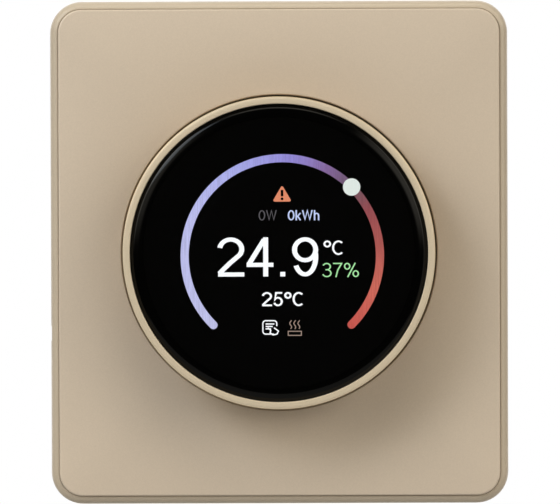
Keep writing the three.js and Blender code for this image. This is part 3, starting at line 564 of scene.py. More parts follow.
# A glyph is its space before, width and space after, and its strokes for a half stroke s and a width w.
# A capital is 1 high.
GLYPHS = {
    "0": (0.05, 0.62, 0.05, lambda s, w: [arc(w / 2, 0.5, w / 2 - s, 0.5 - s, 0, 360)]),
    "2": (0.03, 0.66, 0.03, lambda s, w: [
        arc(w / 2 - 0.01, 0.7, w / 2 - s, 0.3 - s, 172, -38) + [(0.31, 0.355), (0.15, 0.2), (0.035, 0.08)],
        [(0, s), (w, s)]]),
    "3": (0.05, 0.62, 0.05, lambda s, w: [
        arc(w / 2 - 0.01, 0.74, w / 2 - s - 0.03, 0.26 - s, 160, -90) + [(w * 0.36, 0.48 + s)],
        [(w * 0.36, 0.48 + s)] + arc(w / 2, 0.28, w / 2 - s, 0.28 - s, 90, -162)]),
    "4": (0.03, 0.675, 0.07, lambda s, w: [
        [(0.48, 0), (0.48, 1)], [(0.0, 0.298), (w, 0.298)], [(0.445, 0.95), (0.06, 0.32)]]),
    "5": (0.05, 0.64, 0.05, lambda s, w: [
        [(w - 0.04, 1 - s), (0.13 + s, 1 - s), (0.05 + s, 0.47)]
        + arc(w / 2 - 0.01, 0.33, w / 2 - s, 0.33 - s, 128, -160)]),
    "7": (0.05, 0.62, 0.05, lambda s, w: [[(0, 1 - s), (w - 1.4 * s, 1 - s), (w * 0.5, 0.5), (w * 0.3, 0)]]),
    "9": (0.075, 0.64, 0.05, lambda s, w: [
        arc(w / 2, 0.68, w / 2 - s, 0.32 - s, 0, 360), arc(w / 2, 0.5, w / 2 - s, 0.5 - s, 12, -150, 32)]),
    ".": (0.085, 0.16, 0.09, lambda s, w: [[(w / 2, 0), (w / 2, 2.2 * s)]]),
    "°": (0.05, 0.48, 0.04, lambda s, w: [arc(w / 2, 1 - w / 2, w / 2 - s, w / 2 - s, 0, 360)]),
    "C": (0.04, 0.76, 0.05, lambda s, w: [arc(w / 2 + 0.02, 0.5, w / 2 - s + 0.02, 0.5 - s, 48, 312, 32)]),
    "%": (0.05, 0.98, 0.05, lambda s, w: [
        arc(0.21, 0.76, 0.21 - s, 0.24 - s, 0, 360), arc(w - 0.21, 0.24, 0.21 - s, 0.24 - s, 0, 360),
        [(0.24, 0), (w - 0.24, 1)]]),
    "W": (0.05, 1.02, 0.05, lambda s, w: [
        [(s, 1), (w * 0.28, 1.6 * s), (w / 2, 1 - 0.8 * s), (w * 0.72, 1.6 * s), (w - s, 1)]]),
    "k": (0.06, 0.52, 0.03, lambda s, w: [
        [(s, 0), (s, 1)], [(s, 0.26), (w - s, 0.72)], [(0.2, 0.42), (w - s, 0)]]),
    "h": (0.06, 0.5, 0.06, lambda s, w: [
        [(s, 0), (s, 1)], arc(w / 2, 0.44, w / 2 - s, 0.3 - s, 180, 0, 12) + [(w - s, 0)]]),
}


def write(bm, text, left, baseline, height, width, weight):
    """Draws a line of text, fitted to a width. The weight is the stroke's share of the height."""
    half = weight / 2
    lines, at = [], -GLYPHS[text[0]][0]
    for char in text:
        before, wide, after, strokes = GLYPHS[char]
        at += before
        lines += [[(x + at, y) for x, y in line] for line in strokes(half, wide)]
        at += wide + after
    at -= GLYPHS[text[-1]][2]
    for i, line in enumerate(lines):
        placed = [(left + x * width / at, baseline + y * height) for x, y in line]
        stroke(bm, placed, half * height, i % 4 * LAYER, pen=PEN)


def lit(name, look, draw):
    """A group of lit pixels. draw gets a mesh to draw on, around the picture's centre."""
    bm = bmesh.new()
    draw(bm)
    bmesh.ops.translate(bm, verts=bm.verts, vec=(*DISPLAY, DISPLAY_Z))
    return piece(name, bm, look, "knob_core", "display")


def lit_text(name, look, *text):
    return lit(name, look, lambda bm: write(bm, *text))


GAUGE_RADIUS, GAUGE_WIDTH, GAUGE_SWEEP, GAUGE_MARK = 17.92, 1.5, 270, 44.6
MARKER_RADIUS, MARKER_RISE = 1.6, 0.04
GAUGE_COLOURS = (
    (0.0, "#bdbfe5"), (0.25, "#bbbdeb"), (0.4, "#a6a9e6"), (0.52, "#9289d4"),
    (0.6, "#83679b"), (0.67, "#6b5560"), (0.73, "#924c51"), (0.9, "#c8685a"), (1.0, "#c4584f"),
)


def gauge_look():
    """Colour runs round the dial from pale violet to red."""
    look = Look("gauge_pixels", "#000000", 0.5, 0.0, 0.0)
    where = look.node("ShaderNodeTexCoord").outputs["Object"]
    apart = look.node("ShaderNodeSeparateXYZ", where).outputs
    turn = look.node("ShaderNodeMath", apart["X"], apart["Z"], operation="ARCTAN2").outputs["Value"]
    half = math.radians(GAUGE_SWEEP / 2)
    ramp = look.node("ShaderNodeValToRGB", look.spread(turn, -half, half, 0, 1))
    stops = ramp.color_ramp.elements
    for i, (at, colour) in enumerate(GAUGE_COLOURS):
        stop = stops[i] if i < 2 else stops.new(at)
        stop.position, stop.color = at, (*linear(colour), 1)
    return look.glow(ramp.outputs["Color"], 1.08, 0.86, 1.1, 0.2)


def gauge():
    start, end = 90 + GAUGE_SWEEP / 2, 90 - GAUGE_SWEEP / 2
    bm = bmesh.new()
    stroke(bm, arc(0, 0, GAUGE_RADIUS, GAUGE_RADIUS, start, end, 120), GAUGE_WIDTH / 2, 0)
    for x, y in arc(0, 0, GAUGE_RADIUS, GAUGE_RADIUS, start, end, 1):
        disc(bm, x, y, GAUGE_WIDTH / 2, -LAYER)
    made = piece("gauge_arc", bm, gauge_look(), None, "display")
    made.location = PANEL @ Vector((*DISPLAY, DISPLAY_Z))
    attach(made, "knob_core")
    x, y = arc(0, 0, GAUGE_RADIUS, GAUGE_RADIUS, GAUGE_MARK, 0, 1)[0]
    pale = glow("marker_pixels", "#e4eee8", 1.05)
    lit("gauge_marker", pale, lambda bm: disc(bm, x, y, MARKER_RADIUS, MARKER_RISE))


def alert_sign(bm):
    """A solid triangle with round corners."""
    width, height, bottom, corner = 3.55, 3.05, 9.95, 0.25
    outline = [(-width / 2, bottom, corner), (width / 2, bottom, corner), (0, bottom + height, corner)]
    patch(bm, filleted(outline, 4), 0)


def alert_mark(bm):
    stroke(bm, [(0, 10.9), (0, 12.1)], 0.24, 0.03)
    disc(bm, 0, 10.45, 0.26, 0.03)


def schedule_sign(bm):
    """A list with a pointing hand."""
    left, right, top, bottom, fillet = -3.6, -1.05, -11.9, -14.35, 0.5
    corners = [(-1.6, bottom), (left, bottom, fillet), (left, top, fillet)]
    corners += [(right, top, fillet), (right, top - 1)]
    lines = [[(left + 0.5, y), (-1.5 - 0.3 * i, y)] for i, y in enumerate((-12.5, -12.95, -13.4))]
    hand = [(-2.7, -13.15), (-2.15, -13.7), (-2.3, -14.1), (-1.75, -14.5)]
    hand += [(-1, -14.35), (-0.75, -13.8), (-1.55, -13.2)]
    for i, line in enumerate([filleted(corners, 5, False), *lines, hand]):
        stroke(bm, line, 0.11, i * LAYER)


def heating_sign(bm):
    """Warm air rising from a tray."""
    weight, left, right, bottom, top = 0.085, 1.05, 3.45, -14.6, -13.85
    for x in row(3, 0.75):
        wave = [(2.25 + x + 0.17 * math.sin(t * math.tau / 12), -13.4 + 0.112 * t) for t in range(15)]
        stroke(bm, wave, weight, 0)
    stroke(bm, [(left, bottom), (right, bottom), (right, top), (left, top), (left, bottom)], weight, 0)


def graphics():
    white = glow("white_pixels", "#f8fcff", 1.15)
    green, dim = glow("green_pixels", "#a8e8a6", 1.05), glow("dim_pixels", "#5c5a5e")
    pale_blue = glow("pale_blue_pixels", "#c9d8ff")
    gauge()
    # After the pixels and the text: its left, baseline, height and width, and its strokes' weight
    lit_text("reading_digits", white, "24.9", -11.78, -3.78, 7.18, 18.3, 0.106)
    lit_text("reading_unit", white, "°C", 7.58, 0.13, 2.66, 3.75, 0.115)
    lit_text("humidity_digits", green, "37%", 7.3, -3.94, 2.62, 6.75, 0.082)
    lit_text("setpoint_digits", white, "25°C", -3.72, -9.24, 2.6, 7.7, 0.125)
    lit_text("power_digits", dim, "0W", -4.3, 6.5, 1.88, 3.3, 0.095)
    lit_text("energy_digits", pale_blue, "0kWh", 1.05, 6.5, 1.88, 5.75, 0.12)
    lit("alert_icon", glow("orange_pixels", "#e8906d"), alert_sign)
    lit("alert_mark", BLACK_INK, alert_mark)
    lit("schedule_icon", white, schedule_sign)
    lit("heating_icon", glow("tan_pixels", "#a69184", 0.95), heating_sign)


# ---------------- inner looks

GREY = painted("grey_moulded", "#dcdad3", 0.5, 0.2, 0.008)
ZINC = Look("zinc_plate", "#b9bbbd", 0.34, 1.0).shade(2.5, 0.07).vary_gloss(0.6, 0.09).bump(0.5, 0.002)
STEEL = Look("screw_steel", "#c3c4c6", 0.27, 1.0).shade(0.8, 0.05).vary_gloss(0.2, 0.06)
SPRING_STEEL = Look("spring_steel", "#a4a5a8", 0.25, 1.0).shade(0.5, 0.06)
GOLD = Look("gold_plate", "#dcae5a", 0.25, 1.0).shade(0.3, 0.05)
COPPER = Look("copper_wire", "#b8673a", 0.3, 1.0).shade(0.3, 0.08)
SOLDER = Look("solder", "#c9cbcd", 0.22, 1.0).shade(0.4, 0.06).bump(0.3, 0.004)
ACETAL = Look("white_acetal", "#ece9df", 0.35).shade(1.5, 0.02).vary_gloss(0.8, 0.04)
EPOXY = painted("black_epoxy", "#1c1c1e", 0.55, 0.1, 0.004)
CERAMIC = Look("ceramic_tan", "#8d7358", 0.5).shade(0.4, 0.08)
MASK_BLACK = Look("board_black_mask", "#14171b", 0.4).shade(2.0, 0.1).bump(0.25, 0.004)
MASK_GREEN = Look("board_green_mask", "#165a33", 0.35).shade(2.0, 0.08).bump(0.25, 0.004)
TRACE_BLACK = Look("trace_under_black", "#23282e", 0.35).shade(1.0, 0.1)
TRACE_GREEN = Look("trace_under_green", "#2b7a4a", 0.3).shade(1.0, 0.08)
RELAY_BLUE = painted("relay_blue", "#1f4f9c", 0.35, 0.15, 0.004)
TAPE = Look("tape_yellow", "#dcae2a", 0.3).shade(1.2, 0.06).bump(0.6, 0.02, (1, 1, 4))
FERRITE = painted("ferrite", "#2b2a2b", 0.6, 0.12, 0.01)
VARISTOR_BLUE = Look("varistor_epoxy", "#1d4488", 0.3).shade(0.8, 0.06).bump(0.8, 0.03)
FUSE_BROWN = painted("fuse_brown", "#5a3120", 0.4)
TERMINAL_GREEN = painted("terminal_green", "#2f7d4d", 0.45)
FLEX = Look("flex_amber", "#b87a24", 0.3).shade(0.5, 0.3, 1.0, (1, 0.02, 0.02))
PRINT_BLACK = Look("print_black", "#26262a", 0.6).shade(0.5, 0.08)
PRINT_WHITE = Look("print_white", "#e8e8e6", 0.6).shade(0.5, 0.04)

# ---------------- CAD pieces that keep their own mesh


def smoothing():
    """A modifier group that shades smooth, but keeps sharp edges."""
    group = bpy.data.node_groups.new("smooth_by_angle", "GeometryNodeTree")
    for way in ("INPUT", "OUTPUT"):
        group.interface.new_socket("Geometry", in_out=way, socket_type="NodeSocketGeometry")
    nodes = Nodes(group)
    start = nodes.node("NodeGroupInput").outputs[0]
    smooth = nodes.node("GeometryNodeSetShadeSmooth", Geometry=start).outputs[0]
    angle = nodes.node("GeometryNodeInputMeshEdgeAngle").outputs["Unsigned Angle"]
    over = nodes.node("FunctionNodeCompare", data_type="FLOAT", operation="GREATER_THAN", A=angle, B=SHARP)
    flat = {"domain": "EDGE", "Geometry": smooth, "Selection": over.outputs["Result"], "Shade Smooth": False}
    nodes.node("NodeGroupOutput", nodes.node("GeometryNodeSetShadeSmooth", **flat).outputs[0])
    return group


SMOOTHING = smoothing()


def dress(look, bevel, *nodes):
    """Gives CAD pieces a look, and rounds their sharp edges by a bevel in millimetres."""
    for node in nodes:
        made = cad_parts[node]
        made.data.materials.clear()
        made.data.materials.append(look.material)
        flats = made.modifiers.new("flats", "DECIMATE")
        flats.decimate_type = "DISSOLVE"
        flats.angle_limit = math.radians(1)
        rounds = made.modifiers.new("rounds", "BEVEL")
        rounds.width = bevel * MM
        rounds.segments = 2
        rounds.limit_method = "ANGLE"
        rounds.angle_limit = math.radians(40)
        smooth = made.modifiers.new("smooth", "NODES")
        smooth.node_group = SMOOTHING
        even = made.modifiers.new("even", "WEIGHTED_NORMAL")
        even.keep_sharp = True


def dress_all():
    dress(GREY, 0.25, "rear_housing", "power_cover")
    dress(ZINC, 0.1, "mounting_yoke")
    dress(BLACK_PLASTIC, 0.15, "front_housing", "display_carrier")
    dress(BLACK_PLASTIC, 0.08, "ring_gear", "switch_plunger", "bus_socket", "pin_header")
    dress(BLACK_PLASTIC, 0.04, "glass_gasket")
    dress(ACETAL, 0.06, "drive_pinion", "display_socket")
    dress(ACETAL, 0.04, "glide_washer")
    dress(STEEL, 0.1, "encoder_body", "encoder_shaft", "press_switch")
    dress(MASK_BLACK, 0.05, "main_board")
    dress(MASK_GREEN, 0.05, "power_board")
    dress(TERMINAL_GREEN, 0.12, "terminal_block")
    dress(RELAY_BLUE, 0.5, "relay")
    dress(FUSE_BROWN, 0.3, "fuse")
    dress(EPOXY, 0.1, "climate_sensor")


# ---------------- screws and springs


def screw_profile(head, head_height, shank, length):
    """Points of (radius, height above the head's seat), from the tip to the top of the head."""
    pitch, depth = shank * 0.45, shank * 0.16
    profile = [(0, -length), (shank * 0.55, -length), (shank * 0.8, pitch - length)]
    for i in range(int((length - 2.2 * pitch) / pitch)):
        at = pitch * (1.3 + i) - length
        profile += [(shank - depth, at), (shank, at + pitch * 0.4), (shank, at + pitch * 0.55)]
    shoulder, dome = head_height * 0.45, head_height * 0.55
    profile += [(shank * 0.9, 0), (head - 0.12, 0), (head, 0.12), (head, shoulder)]
    return profile + arc(0, shoulder, head, dome, 18, 72, 3) + [(0, head_height)]


def screw_mesh(name, head, head_height, shank, low, high, outward):
    """A cross-recessed screw along z from low to high. outward is 1 if its head faces the room."""
    seat = high - head_height if outward > 0 else low + head_height
    profile = screw_profile(head, head_height, shank, high - low - head_height)
    bm = bmesh.new()
    lathe(bm, [(radius, seat + outward * height) for radius, height in profile], 32)
    whole = mesh_of(name, bm)
    arm, thin = head * 0.62, head * 0.15
    for turn in (0, 90):
        spin = Matrix.Rotation(math.radians(turn), 2)
        loops = []
        for share, height in ((0.45, 0.35), (1.25, 1.4)):
            wide, z = arm * share, seat + outward * head_height * height
            corners = [(-wide, -thin), (wide, -thin), (wide, thin), (-wide, thin)]
            loops.append([(*(spin @ Vector(corner)), z) for corner in corners])
        cutter = bmesh.new()
        rings = loft(cutter, loops)
        cap(cutter, rings[0])
        cap(cutter, rings[1])
        whole = carved(whole, mesh_of(name + "_recess", cutter))
    whole.set_sharp_from_angle(angle=SHARP)
    return whole


# name, how many, head height, shank radius, 1 if the head faces the room, body
SCREWS = (
    ("terminal_screw", 6, 1.5, 1.5, -1, "base"),
    ("power_board_screw", 2, 1.3, 1.1, 1, "base"),
    ("yoke_screw", 4, 1.1, 1.1, 1, "base"),
    ("wall_screw", 2, 2.1, 1.95, 1, "base"),
    ("board_screw", 4, 1.0, 0.95, -1, "front_unit"),
    ("guide_screw", 3, 1.0, 0.95, -1, "knob_core"),
)


def screws():
    for name, count, head_height, shank, outward, body in SCREWS:
        first = Span(name + "_1")
        mesh = screw_mesh(name, first.radius, head_height, shank, first.back, first.front, outward)
        for i in range(1, count + 1):
            node = f"{name}_{i}"
            here = Span(node)
            made = piece(node + "_turned", mesh, STEEL, None, "zinc_steel", node)
            made.location = PANEL @ Vector((here.x, here.y, 0))
            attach(made, body)


def tube(bm, path, radius, sides=10, material=0):
    """A round wire along a path."""
    loops = []
    side = Vector((0, 0, 1))
    for i, here in enumerate(path):
        way = (Vector(path[min(i + 1, len(path) - 1)]) - Vector(path[max(i - 1, 0)])).normalized()
        if abs(side.dot(way)) < 0.99:
            side = (side - way * side.dot(way)).normalized()
        else:
            side = way.orthogonal().normalized()
        up = way.cross(side)
        turns = [math.tau * k / sides for k in range(sides)]
        loops.append([Vector(here) + (side * math.cos(a) + up * math.sin(a)) * radius for a in turns])
    rings = loft(bm, loops, material=material)
    cap(bm, rings[0], material)
    cap(bm, rings[-1], material)


SPRING_WIRE, SPRING_TURNS, SPRING_STEPS = 0.28, 4, 28
SPRING_CIRCLE = 16.5  # the radius that the springs stand on, at thirds of a turn


def springs():
    """Wire coils with one flat turn at each end."""
    for i, (x, y) in enumerate(arc(0, 0, SPRING_CIRCLE, SPRING_CIRCLE, 90, 330, 2), 1):
        node = f"return_spring_{i}"
        here = Span(node)
        radius = min(here.width, here.height) / 2 - SPRING_WIRE
        low, rise = here.back + SPRING_WIRE, here.depth - 2 * SPRING_WIRE
        path = []
        for k in range((SPRING_TURNS + 2) * SPRING_STEPS + 1):
            turn = k / SPRING_STEPS - 1
            share = min(max(turn / SPRING_TURNS, 0), 1)
            a = math.tau * turn
            path.append((x + radius * math.cos(a), y + radius * math.sin(a), low + rise * share))
        bm = bmesh.new()
        tube(bm, path, SPRING_WIRE)
        made = piece(node + "_coil", bm, SPRING_STEEL, None, "zinc_steel", node)
        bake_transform(made)


FLEX_WIDTH, FLEX_HALF, FLEX_BEND = 11, 0.15, 1.35
FLEX_Y, FLEX_END, FLEX_FOLD = -19.4, -15.3, 8.4  # it hangs at y, folds at z and ends at another y


def flex():
    """A flat cable from the display down through its slot and round to its socket."""
    here = Span("display_flex")
    down = [(FLEX_Y, here.front - (here.front - FLEX_FOLD) * i / 8) for i in range(8)]
    bend = arc(FLEX_Y + FLEX_BEND, FLEX_FOLD, FLEX_BEND, FLEX_BEND, 180, 270, 10)
    sides, _ = offsets([*down, *bend, (FLEX_END, FLEX_FOLD - FLEX_BEND)], FLEX_HALF)
    outline = [left for left, _ in sides] + [right for _, right in reversed(sides)]
    bm = bmesh.new()
    rings = loft(bm, [[(x, y, z) for y, z in outline] for x in (-FLEX_WIDTH / 2, FLEX_WIDTH / 2)])
    for edge in rings:
        for i in range(len(sides) - 1):
            bm.faces.new((edge[i], edge[i + 1], edge[-2 - i], edge[-1 - i]))
    made = piece("display_flex_ribbon", bm, FLEX, None, "flex_amber", "display_flex")
    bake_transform(made)


# ---------------- circuit boards

HEADER_PINS, HEADER_PITCH, HEADER_Y = 7, 2.54, -18
TERMINALS, TERMINAL_PITCH, TERMINAL_Y = 6, 7.5, -19.4
PART_LOOKS = [CERAMIC, SOLDER, EPOXY, GOLD]


def joint(bm, x, y, z, side, radius=0.55, height=0.7):
    """A cone of solder on a board face. side is 1 on the face towards the room."""
    shape = ((1, 0), (0.62, 0.3), (0.4, 0.75), (0.3, 1))
    loops = []
    for share, up in shape:
        loops.append([(*p, z + side * height * up) for p in circle(x, y, radius * share, 12)])
    rings = loft(bm, loops, material=1)
    cap(bm, rings[-1], 1)
    cap(bm, rings[0], 1)


def chip(bm, x, y, width, height, z, side, thick=0.45):
    """A two-ended surface part: a body between solder ends."""
    low, high = sorted((z, z + side * thick))
    level = width > height
    length, across = (width, height) if level else (height, width)
    end = length * 0.22

    def block(at, long, wide, edge, corner, material):
        spot, size = ((x + at, y), (long, wide)) if level else ((x, y + at), (wide, long))
        brick(bm, *spot, *size, low, high, edge, corner, material)

    block(0, length - 2 * end, across, 0.03, 0.03, 0)
    for way in (-1, 1):
        block(way * (length - end) / 2, end, across * 1.02, 0.04, 0.05, 1)


def chips(bm, z, side, rows):
    for way, x, y, count, pitch, *size, thick in rows:
        for at in row(count, pitch):
            spot = (x + at, y) if way == "x" else (x, y + at)
            chip(bm, *spot, *size, z, side, thick)


LEAD_LENGTH, LEAD_WIDTH, LEAD_HEIGHT, LEAD_REACH = 0.75, 0.22, 0.16, 0.35


def leaded(bm, x, y, size, z, side, pins):
    """A square chip with flat leads on all four sides."""
    low, high = sorted((z + side * 0.1, z + side * 0.95))
    brick(bm, x, y, size, size, low, high, 0.12, 0.2, 2)
    foot, top = sorted((z, z + side * LEAD_HEIGHT))
    for along in row(pins, size * 0.84 / (pins - 1)):
        for out in (-size / 2 - LEAD_REACH, size / 2 + LEAD_REACH):
            brick(bm, x + along, y + out, LEAD_WIDTH, LEAD_LENGTH, foot, top, 0.02, 0.02, 1)
            brick(bm, x + out, y + along, LEAD_LENGTH, LEAD_WIDTH, foot, top, 0.02, 0.02, 1)


TRACE_HEIGHT = 0.03


def traces(bm, z, side, routes, half=0.12):
    for route in routes:
        stroke(bm, filleted(route, 3, False), half, z if side > 0 else z - TRACE_HEIGHT, TRACE_HEIGHT)


def comb(x, y, count, pitch, dx, dy, slant):
    """Parallel routes that leave a row of pins, bend by 45 degrees and run on."""
    bent = y + dy + math.copysign(slant, dy)
    routes = []
    for i in range(count):
        start = x + i * pitch
        end = start + slant
        routes.append([(start, y), (start, y + dy), (end, bent), (end + dx, bent)])
    return routes


# Square chips: x, y, size, pins on a side
MAIN_CHIPS = ((2.5, -27, 8, 12), (-19, -23, 5, 8), (24, -11, 4.5, 6))
# Rows of small parts: direction, x and y of the middle, how many, pitch, width, height, thickness
MAIN_BACK_ROWS = (
    ("x", -18.8, -34, 9, 2.3, 1.0, 1.9, 0.45), ("x", 20.4, -22.5, 9, 2.1, 0.9, 1.7, 0.45),
    ("x", 22.5, 10, 3, 2.5, 1.9, 1.1, 0.6), ("x", 21.25, 14, 2, 2.5, 1.9, 1.1, 0.6),
    ("y", -26, 7, 3, 3, 1.9, 1.1, 0.6), ("x", 3, 22, 3, 3, 1.9, 1.1, 0.6),
)
MAIN_FRONT_ROWS = (("y", 24, -20.5, 6, 2.2, 1.9, 1.0, 0.45), ("y", -24, -2.5, 6, 2.2, 1.9, 1.0, 0.45))
POWER_ROWS = (("x", -10, 18.5, 5, 3, 1.0, 1.9, 0.6), ("x", 9, -11.5, 5, 3, 1.9, 1.1, 0.6))
ENCODER_JOINTS = ((10.5, 1.2), (13, 1.2), (15.5, 1.2), (10.5, 13.9), (15.5, 13.9))
SWITCH_JOINTS = ((-3.25, 2.25), (3.25, 2.25), (-3.25, -2.25), (3.25, -2.25))
TRANSFORMER_JOINTS = ((2, 2.5), (2, 13), (15, 2.5), (15, 13), (8.5, 13))
RELAY_JOINTS = ((-18, 1.5), (-18, 10.5), (-7, 1.5), (-7, 10.5), (-12.5, 1.5))
PAIR_JOINTS = ((-6.6, -6.5), (-3.4, -6.5), (4.5, -3.4), (11.5, -3.4), (15.7, -5.5), (20.7, -5.5))


def main_board():
    board = Span("main_board")
    bm = bmesh.new()
    for x, y, size, pins in MAIN_CHIPS:
        leaded(bm, x, y, size, board.back, -1, pins)
    chips(bm, board.back, -1, MAIN_BACK_ROWS)
    chips(bm, board.front, 1, MAIN_FRONT_ROWS)
    for x in row(HEADER_PINS, HEADER_PITCH):
        joint(bm, x, HEADER_Y, board.back, -1, 0.62, 0.75)
    for x, y in ENCODER_JOINTS + SWITCH_JOINTS:
        joint(bm, x, y, board.back, -1)
    piece("main_board_parts", bm, PART_LOOKS, "front_unit", "board_black")


def main_board_traces():
    board = Span("main_board")
    routes = comb(-7, -19.5, 6, 1.0, -6, -2.2, -1.5)
    routes += comb(8, -24, 5, 0.8, 9, 5, 1.5)
    routes += comb(-24, -31, 6, 1.1, 0, 4.0, 2.0)
    for i in (0, 0.9, 1.8):
        routes.append([(-5, -14), (-5, 16 + i, 1), (14 + i, 16 + i, 1), (14 + i, 30 - i)])
    for i in (0, 1.2, 2.4):
        bend, end = 27 - i * 0.5, 29 - i * 0.5
        routes.append([(18, i - 6), (bend, i - 6, 1), (end, i - 2, 1), (end, 18)])
    copper = bmesh.new()
    traces(copper, board.back, -1, routes)
    routes = []
    for i in range(6):
        start, end, y = 1.4 * i - 7, -20 - i, 0.3 * i - 6
        routes.append([(start, -9), (start, y, 0.5), (end, y + 5, 0.5), (end, 18)])
    traces(copper, board.front, 1, routes)
    piece("main_board_traces", copper, TRACE_BLACK, "front_unit", "board_black")


# The wide mains tracks, from four of the terminals
POWER_ROUTES = (
    ((-18.75, TERMINAL_Y), (-18.75, -4, 2), (-12, 0, 2), (-12, 10)),
    ((-3.75, TERMINAL_Y), (-3.75, -11, 1), (11.5, -5, 1), (15.7, -5.5)),
    ((11.25, TERMINAL_Y), (11.25, -13, 1), (18.5, -9, 1), (20.7, -5.5)),
    ((18.75, TERMINAL_Y), (22, -12, 1), (22, 8, 1), (15, 13)),
)


def power_board():
    board = Span("power_board")
    bm = bmesh.new()
    for x in row(TERMINALS, TERMINAL_PITCH):
        joint(bm, x, TERMINAL_Y, board.front, 1, 0.9, 0.8)
    for x, y in TRANSFORMER_JOINTS + RELAY_JOINTS + PAIR_JOINTS:
        joint(bm, x, y, board.front, 1, 0.8, 0.8)
    chips(bm, board.front, 1, POWER_ROWS)
    piece("power_board_parts", bm, PART_LOOKS, "base", "board_green")
    copper = bmesh.new()
    traces(copper, board.front, 1, POWER_ROUTES, 0.9)
    piece("power_board_traces", copper, TRACE_GREEN, "base", "board_green")


# ---------------- parts on the boards


def on_board(name, bm, looks, body, slot, node):
    """A piece drawn about a node's middle and out from its back, moved to the node's place."""
    here = Span(node)
    bmesh.ops.translate(bm, verts=bm.verts, vec=(here.x, here.y, here.back))
    piece(name, bm, looks, body, slot, node)


def transformer():
    """Two core plates and two legs round a taped winding, with a pin rail on each side."""
    width, height, depth = Span("transformer").size
    low, high = 3.2, depth - 4.4  # between the core plates
    core = width * 0.32
    bm = bmesh.new()
    for back, front in ((0, low), (high, depth - 1.2)):
        brick(bm, 0, 0, width, core, back, front, 0.15, 0.3)
    prism(bm, rounded_rect(width - 6.4, height - 0.6, 2.2, 5), low + 0.2, high - 0.2, 0.2, 1)
    for back in (low + 0.05, high - 0.35):
        prism(bm, rounded_rect(width - 5.9, height, 2.0, 5), back, back + 0.35, 0.05, 2)
    for way in (-1, 1):
        rail = way * (height / 2 - 1.1)
        brick(bm, way * (width / 2 - 1.4), 0, 2.8, core, low - 0.2, high + 0.2, 0.1, 0.3)
        brick(bm, 0, rail, width - 3, 2.2, high, depth - 0.5, 0.15, 0.3, 2)
        for x in row(4, 3):
            rod(bm, x, rail, 0.32, depth - 0.6, depth, 10, 0.03, 3)
        wire = ((3.2, 0.3, depth / 2), (3.6, 0.2, depth / 2 + 3), (4.5, 0.5, high + 0.1))
        tube(bm, [(way * x, y - height / 2, z) for x, y, z in wire], 0.17, 8, 4)
    looks = [FERRITE, TAPE, EPOXY, SOLDER, COPPER]
    on_board("transformer_wound", bm, looks, "base", "tape_yellow", "transformer")


def capacitor():
    """A sleeved can with a vented top towards the back, a crimp near the board and a white stripe."""
    width, _, depth = Span("bulk_capacitor").size
    r = width / 2
    bm = bmesh.new()
    profile = [(0, depth), (r * 0.9, depth), (r, depth - 0.4), (r, depth - 1.6), (r * 0.93, depth - 2)]
    profile += [(r, depth - 2.4), (r, 0.5), (r - 0.15, 0.12), (r - 0.5, 0), (r - 0.7, 0.12), (0, 0.12)]
    lathe(bm, profile, 48)
    puck(bm, r - 0.75, 0.06, 0.3, 48, 1)
    for turn in (30, 90, 150):
        stroke(bm, arc(0, 0, r * 0.55, r * 0.55, turn, turn + 180, 1), 0.12, 0.02, 0.06)
    outside, inside = r + 0.01, r - 0.3
    stripe = arc(0, 0, outside, outside, 150, 198, 8) + arc(0, 0, inside, inside, 198, 150, 8)
    prism(bm, stripe, 0.8, depth - 3, 0.005, 2)
    looks = [EPOXY, STEEL, PRINT_WHITE]
    on_board("bulk_capacitor_can", bm, looks, "base", "black_plastic", "bulk_capacitor")


def varistor():
    """A dipped disc on edge, on two wires."""
    width, height, depth = Span("varistor").size
    r = width / 2
    shares = ((0.35, 0), (0.75, 0.12), (0.95, 0.4), (1, 1))
    sides = [(share, inset - height / 2) for share, inset in shares]
    sides += [(share, height / 2 - inset) for share, inset in reversed(shares)]
    bm = bmesh.new()
    rings = loft(bm, [[(x, y, z) for x, z in circle(0, r, r * share, 32)] for share, y in sides])
    cap(bm, rings[0])
    cap(bm, rings[-1])
    for way in (-1, 1):
        wire = ((2.6, 0.6, width - 1.6), (3.5, 0.4, width - 0.4), (3.5, 0, depth))
        tube(bm, [(way * x, way * y, z) for x, y, z in wire], 0.35, 10, 1)
    on_board("varistor_disc", bm, [VARISTOR_BLUE, SOLDER], "base", "varistor_blue", "varistor")


def radio():
    """A small board with a steel shield, a folded antenna and pads along two edges."""
    width, height, depth = Span("radio_module").size
    left, bottom, board = -width / 2, -height / 2, 0.8
    bm = bmesh.new()
    brick(bm, 0, 0, width, height, 0, board, 0.04, 0.2)
    brick(bm, 1.6, 0, width - 4.4, height - 1.2, board, depth - 0.02, 0.25, 0.6, 1)
    near, far = left + 0.6, left + 1.9
    antenna = []
    for i in range(5):
        y = bottom + 1 + 2.2 * i
        antenna += [(near, y), (far, y), (far, y + 1.1), (near, y + 1.1)]
    stroke(bm, antenna, 0.2, board, 0.04, 2)
    for x in row(8, 1.5):
        for y in row(2, height - 0.6):
            brick(bm, left + 8.85 + x, y, 0.9, 0.62, 0.05, board + 0.06, 0.03, 0.1, 2)
    looks = [MASK_BLACK, ZINC, GOLD]
    on_board("radio_module_shielded", bm, looks, "front_unit", "zinc_steel", "radio_module")


